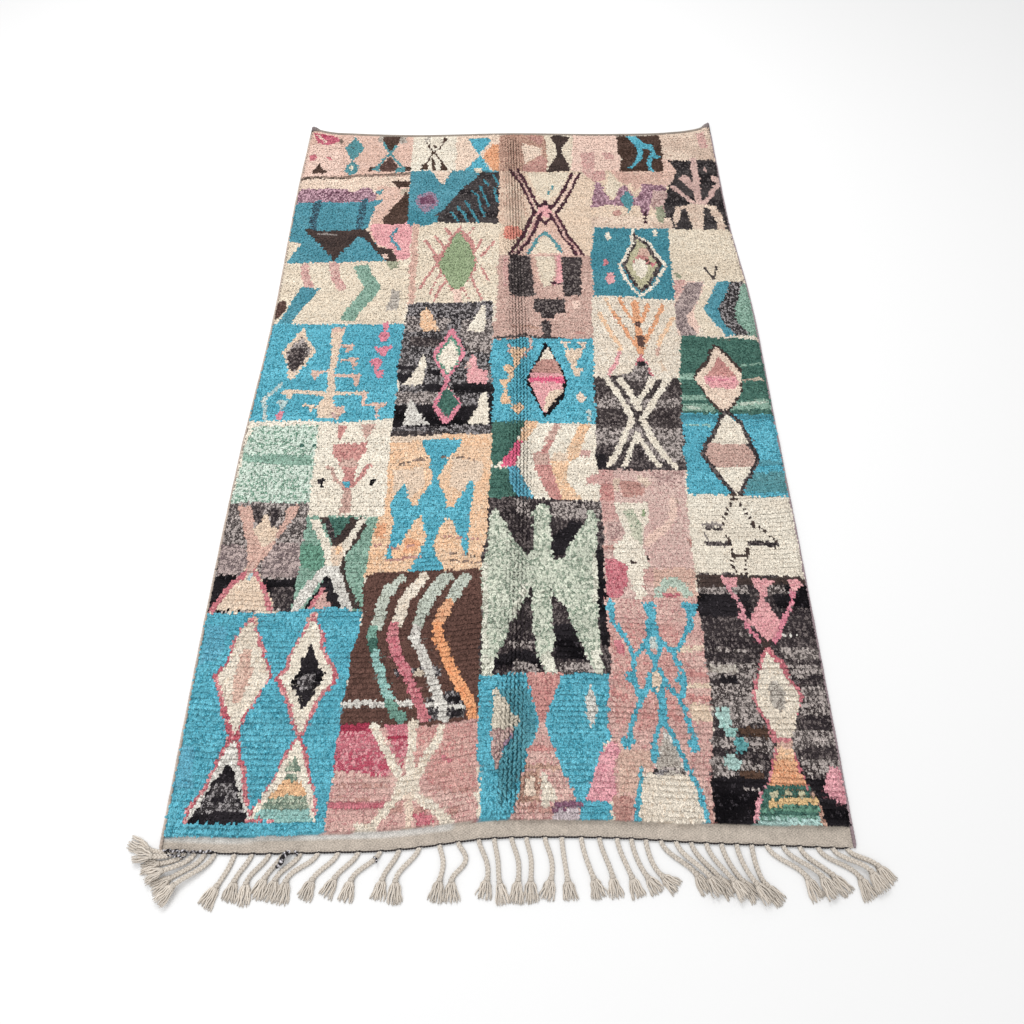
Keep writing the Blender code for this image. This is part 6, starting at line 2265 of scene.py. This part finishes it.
@dataclass(frozen=True)
class BackFinish:
    """The back: the knots' loops in close rows."""

    knot: float = 0.0099
    row: float = 0.0130
    uneven_cells: float = 40.0
    uneven: float = 0.005
    fibre_scale: float = 700.0
    relief: float = 0.0012

    def make(self) -> bpy.types.Material:
        """The finish: squared sines across and along shape each knot's loop."""
        recipe = Recipe("knotted_back", roughness=0.95, sheen=0.1)
        across, along = recipe.ripples(self.uneven_cells, self.uneven, self.knot, self.row)
        loop = across * across * (along * along)
        fibre = recipe.noise(recipe.places(), self.fibre_scale, 3.0)
        dye = recipe.attribute("dye").outputs["Color"]
        # Painted shade: the colour is lighter on each loop and darker between the loops.
        share = loop * 0.4 + 0.6 + (fibre - 0.5) * 0.5
        return recipe.finish(recipe.scaled(dye, share), loop * 0.8 + fibre * 0.2, self.relief)


@dataclass(frozen=True)
class CordFinish:
    """Spun or wound yarn: fibres drawn out along the twist."""

    name: str
    scale: float = 900.0
    relief: float = 0.0006

    def make(self) -> bpy.types.Material:
        """The finish: dye times the fibres' noise, with that noise as relief."""
        recipe = Recipe(self.name, roughness=0.92, sheen=0.1)
        places = recipe.places()
        slant = recipe.node("Mapping", None, Vector=places, Rotation=(0.0, 0.0, 0.6), Scale=(1.0, 0.35, 1.0))
        fibre = recipe.noise(slant.outputs["Vector"], self.scale, 3.0)
        dye = recipe.attribute("dye").outputs["Color"]
        colour = recipe.scaled(dye, (fibre - 0.5) * 0.8 + 1.0)
        return recipe.finish(colour, fibre, self.relief)


@dataclass
class Studio:
    """Plain pale floor, soft light and the camera."""

    camera_place: tuple[float, float, float] = (0.0004, -1.3466, 1.713)
    down: float = 60.7
    lens: float = 25.45
    shift: float = 0.00697
    floor_side: float = 9.0
    sensor: float = 36.0
    floor_shade: float = 0.83
    sky: float = 0.83
    key_place: tuple[float, float, float] = (-0.8, 1.5, 3.4)
    key_side: float = 1.6
    key_power: float = 60.0
    fill_place: tuple[float, float, float] = (-1.6, -0.8, 3.0)
    fill_side: float = 2.6
    fill_power: float = 28.0

    def build(self) -> None:
        """Make the floor, the lights and the camera."""
        half = self.floor_side / 2
        mesh = bpy.data.meshes.new("floor")
        corners = [(-half, -half, 0), (half, -half, 0), (half, half, 0), (-half, half, 0)]
        mesh.from_pydata(corners, [], [(0, 1, 2, 3)])
        floor = bpy.data.objects.new("floor", mesh)
        bpy.context.collection.objects.link(floor)
        recipe = Recipe("pale_floor", roughness=0.9)
        recipe.shader.inputs["Base Color"].default_value = (*(self.floor_shade,) * 3, 1.0)
        mesh.materials.append(recipe.material)
        world = bpy.data.worlds.new("studio")
        world.use_nodes = True
        glow = world.node_tree.nodes["Background"]
        glow.inputs["Color"].default_value = (1.0, 1.0, 1.0, 1.0)
        glow.inputs["Strength"].default_value = self.sky
        bpy.context.scene.world = world
        self.light("key", self.key_place, self.key_side, self.key_power)
        self.light("fill", self.fill_place, self.fill_side, self.fill_power)
        self.camera()
        bpy.context.scene.view_settings.view_transform = "Standard"
        bpy.context.scene.view_settings.look = "None"

    def light(self, name: str, place: tuple[float, float, float], size: float, power: float) -> None:
        """A square area light turned towards the rug's middle.

        Args:
            name: Its name.
            place: Where it hangs.
            size: Its side.
            power: Its power in watts.
        """
        data = bpy.data.lights.new(name, "AREA")
        data.size = size
        data.energy = power
        lamp = bpy.data.objects.new(name, data)
        lamp.location = place
        lamp.rotation_euler = (-lamp.location).to_track_quat("-Z", "Y").to_euler()
        bpy.context.collection.objects.link(lamp)

    def camera(self) -> None:
        """The camera at standing height near the fringe, looking along the rug and down."""
        data = bpy.data.cameras.new("camera")
        data.lens = self.lens
        data.sensor_width = self.sensor
        data.shift_x = self.shift
        camera = bpy.data.objects.new("camera", data)
        camera.location = self.camera_place
        camera.rotation_euler = (np.radians(90 - self.down), 0.0, 0.0)
        bpy.context.collection.objects.link(camera)
        bpy.context.scene.camera = camera


def main() -> None:
    logging.basicConfig(level=logging.INFO, format="%(name)s: %(message)s")
    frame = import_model()
    LOG.info("frame nodes: %s", ", ".join(sorted(frame["nodes"])))
    cloth, chart = Cloth(), Chart()
    cloth.check()
    fringe = Fringe(cloth)
    ground = GroundCloth(cloth, chart).build()
    with_it = [
        *Pile(cloth, chart).build(),
        RolledHem(cloth).build(),
        Selvedge(cloth, "selvedge_left", 0.0, (186, 170, 158)).build(),
        Selvedge(cloth, "selvedge_right", 1.0, (150, 132, 136)).build(),
        Twine(cloth, fringe.roots()).build(),
        *fringe.build(),
        StrayYarns(cloth).build(),
    ]
    Studio().build()
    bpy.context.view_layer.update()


if __name__ == "__main__":
    main()
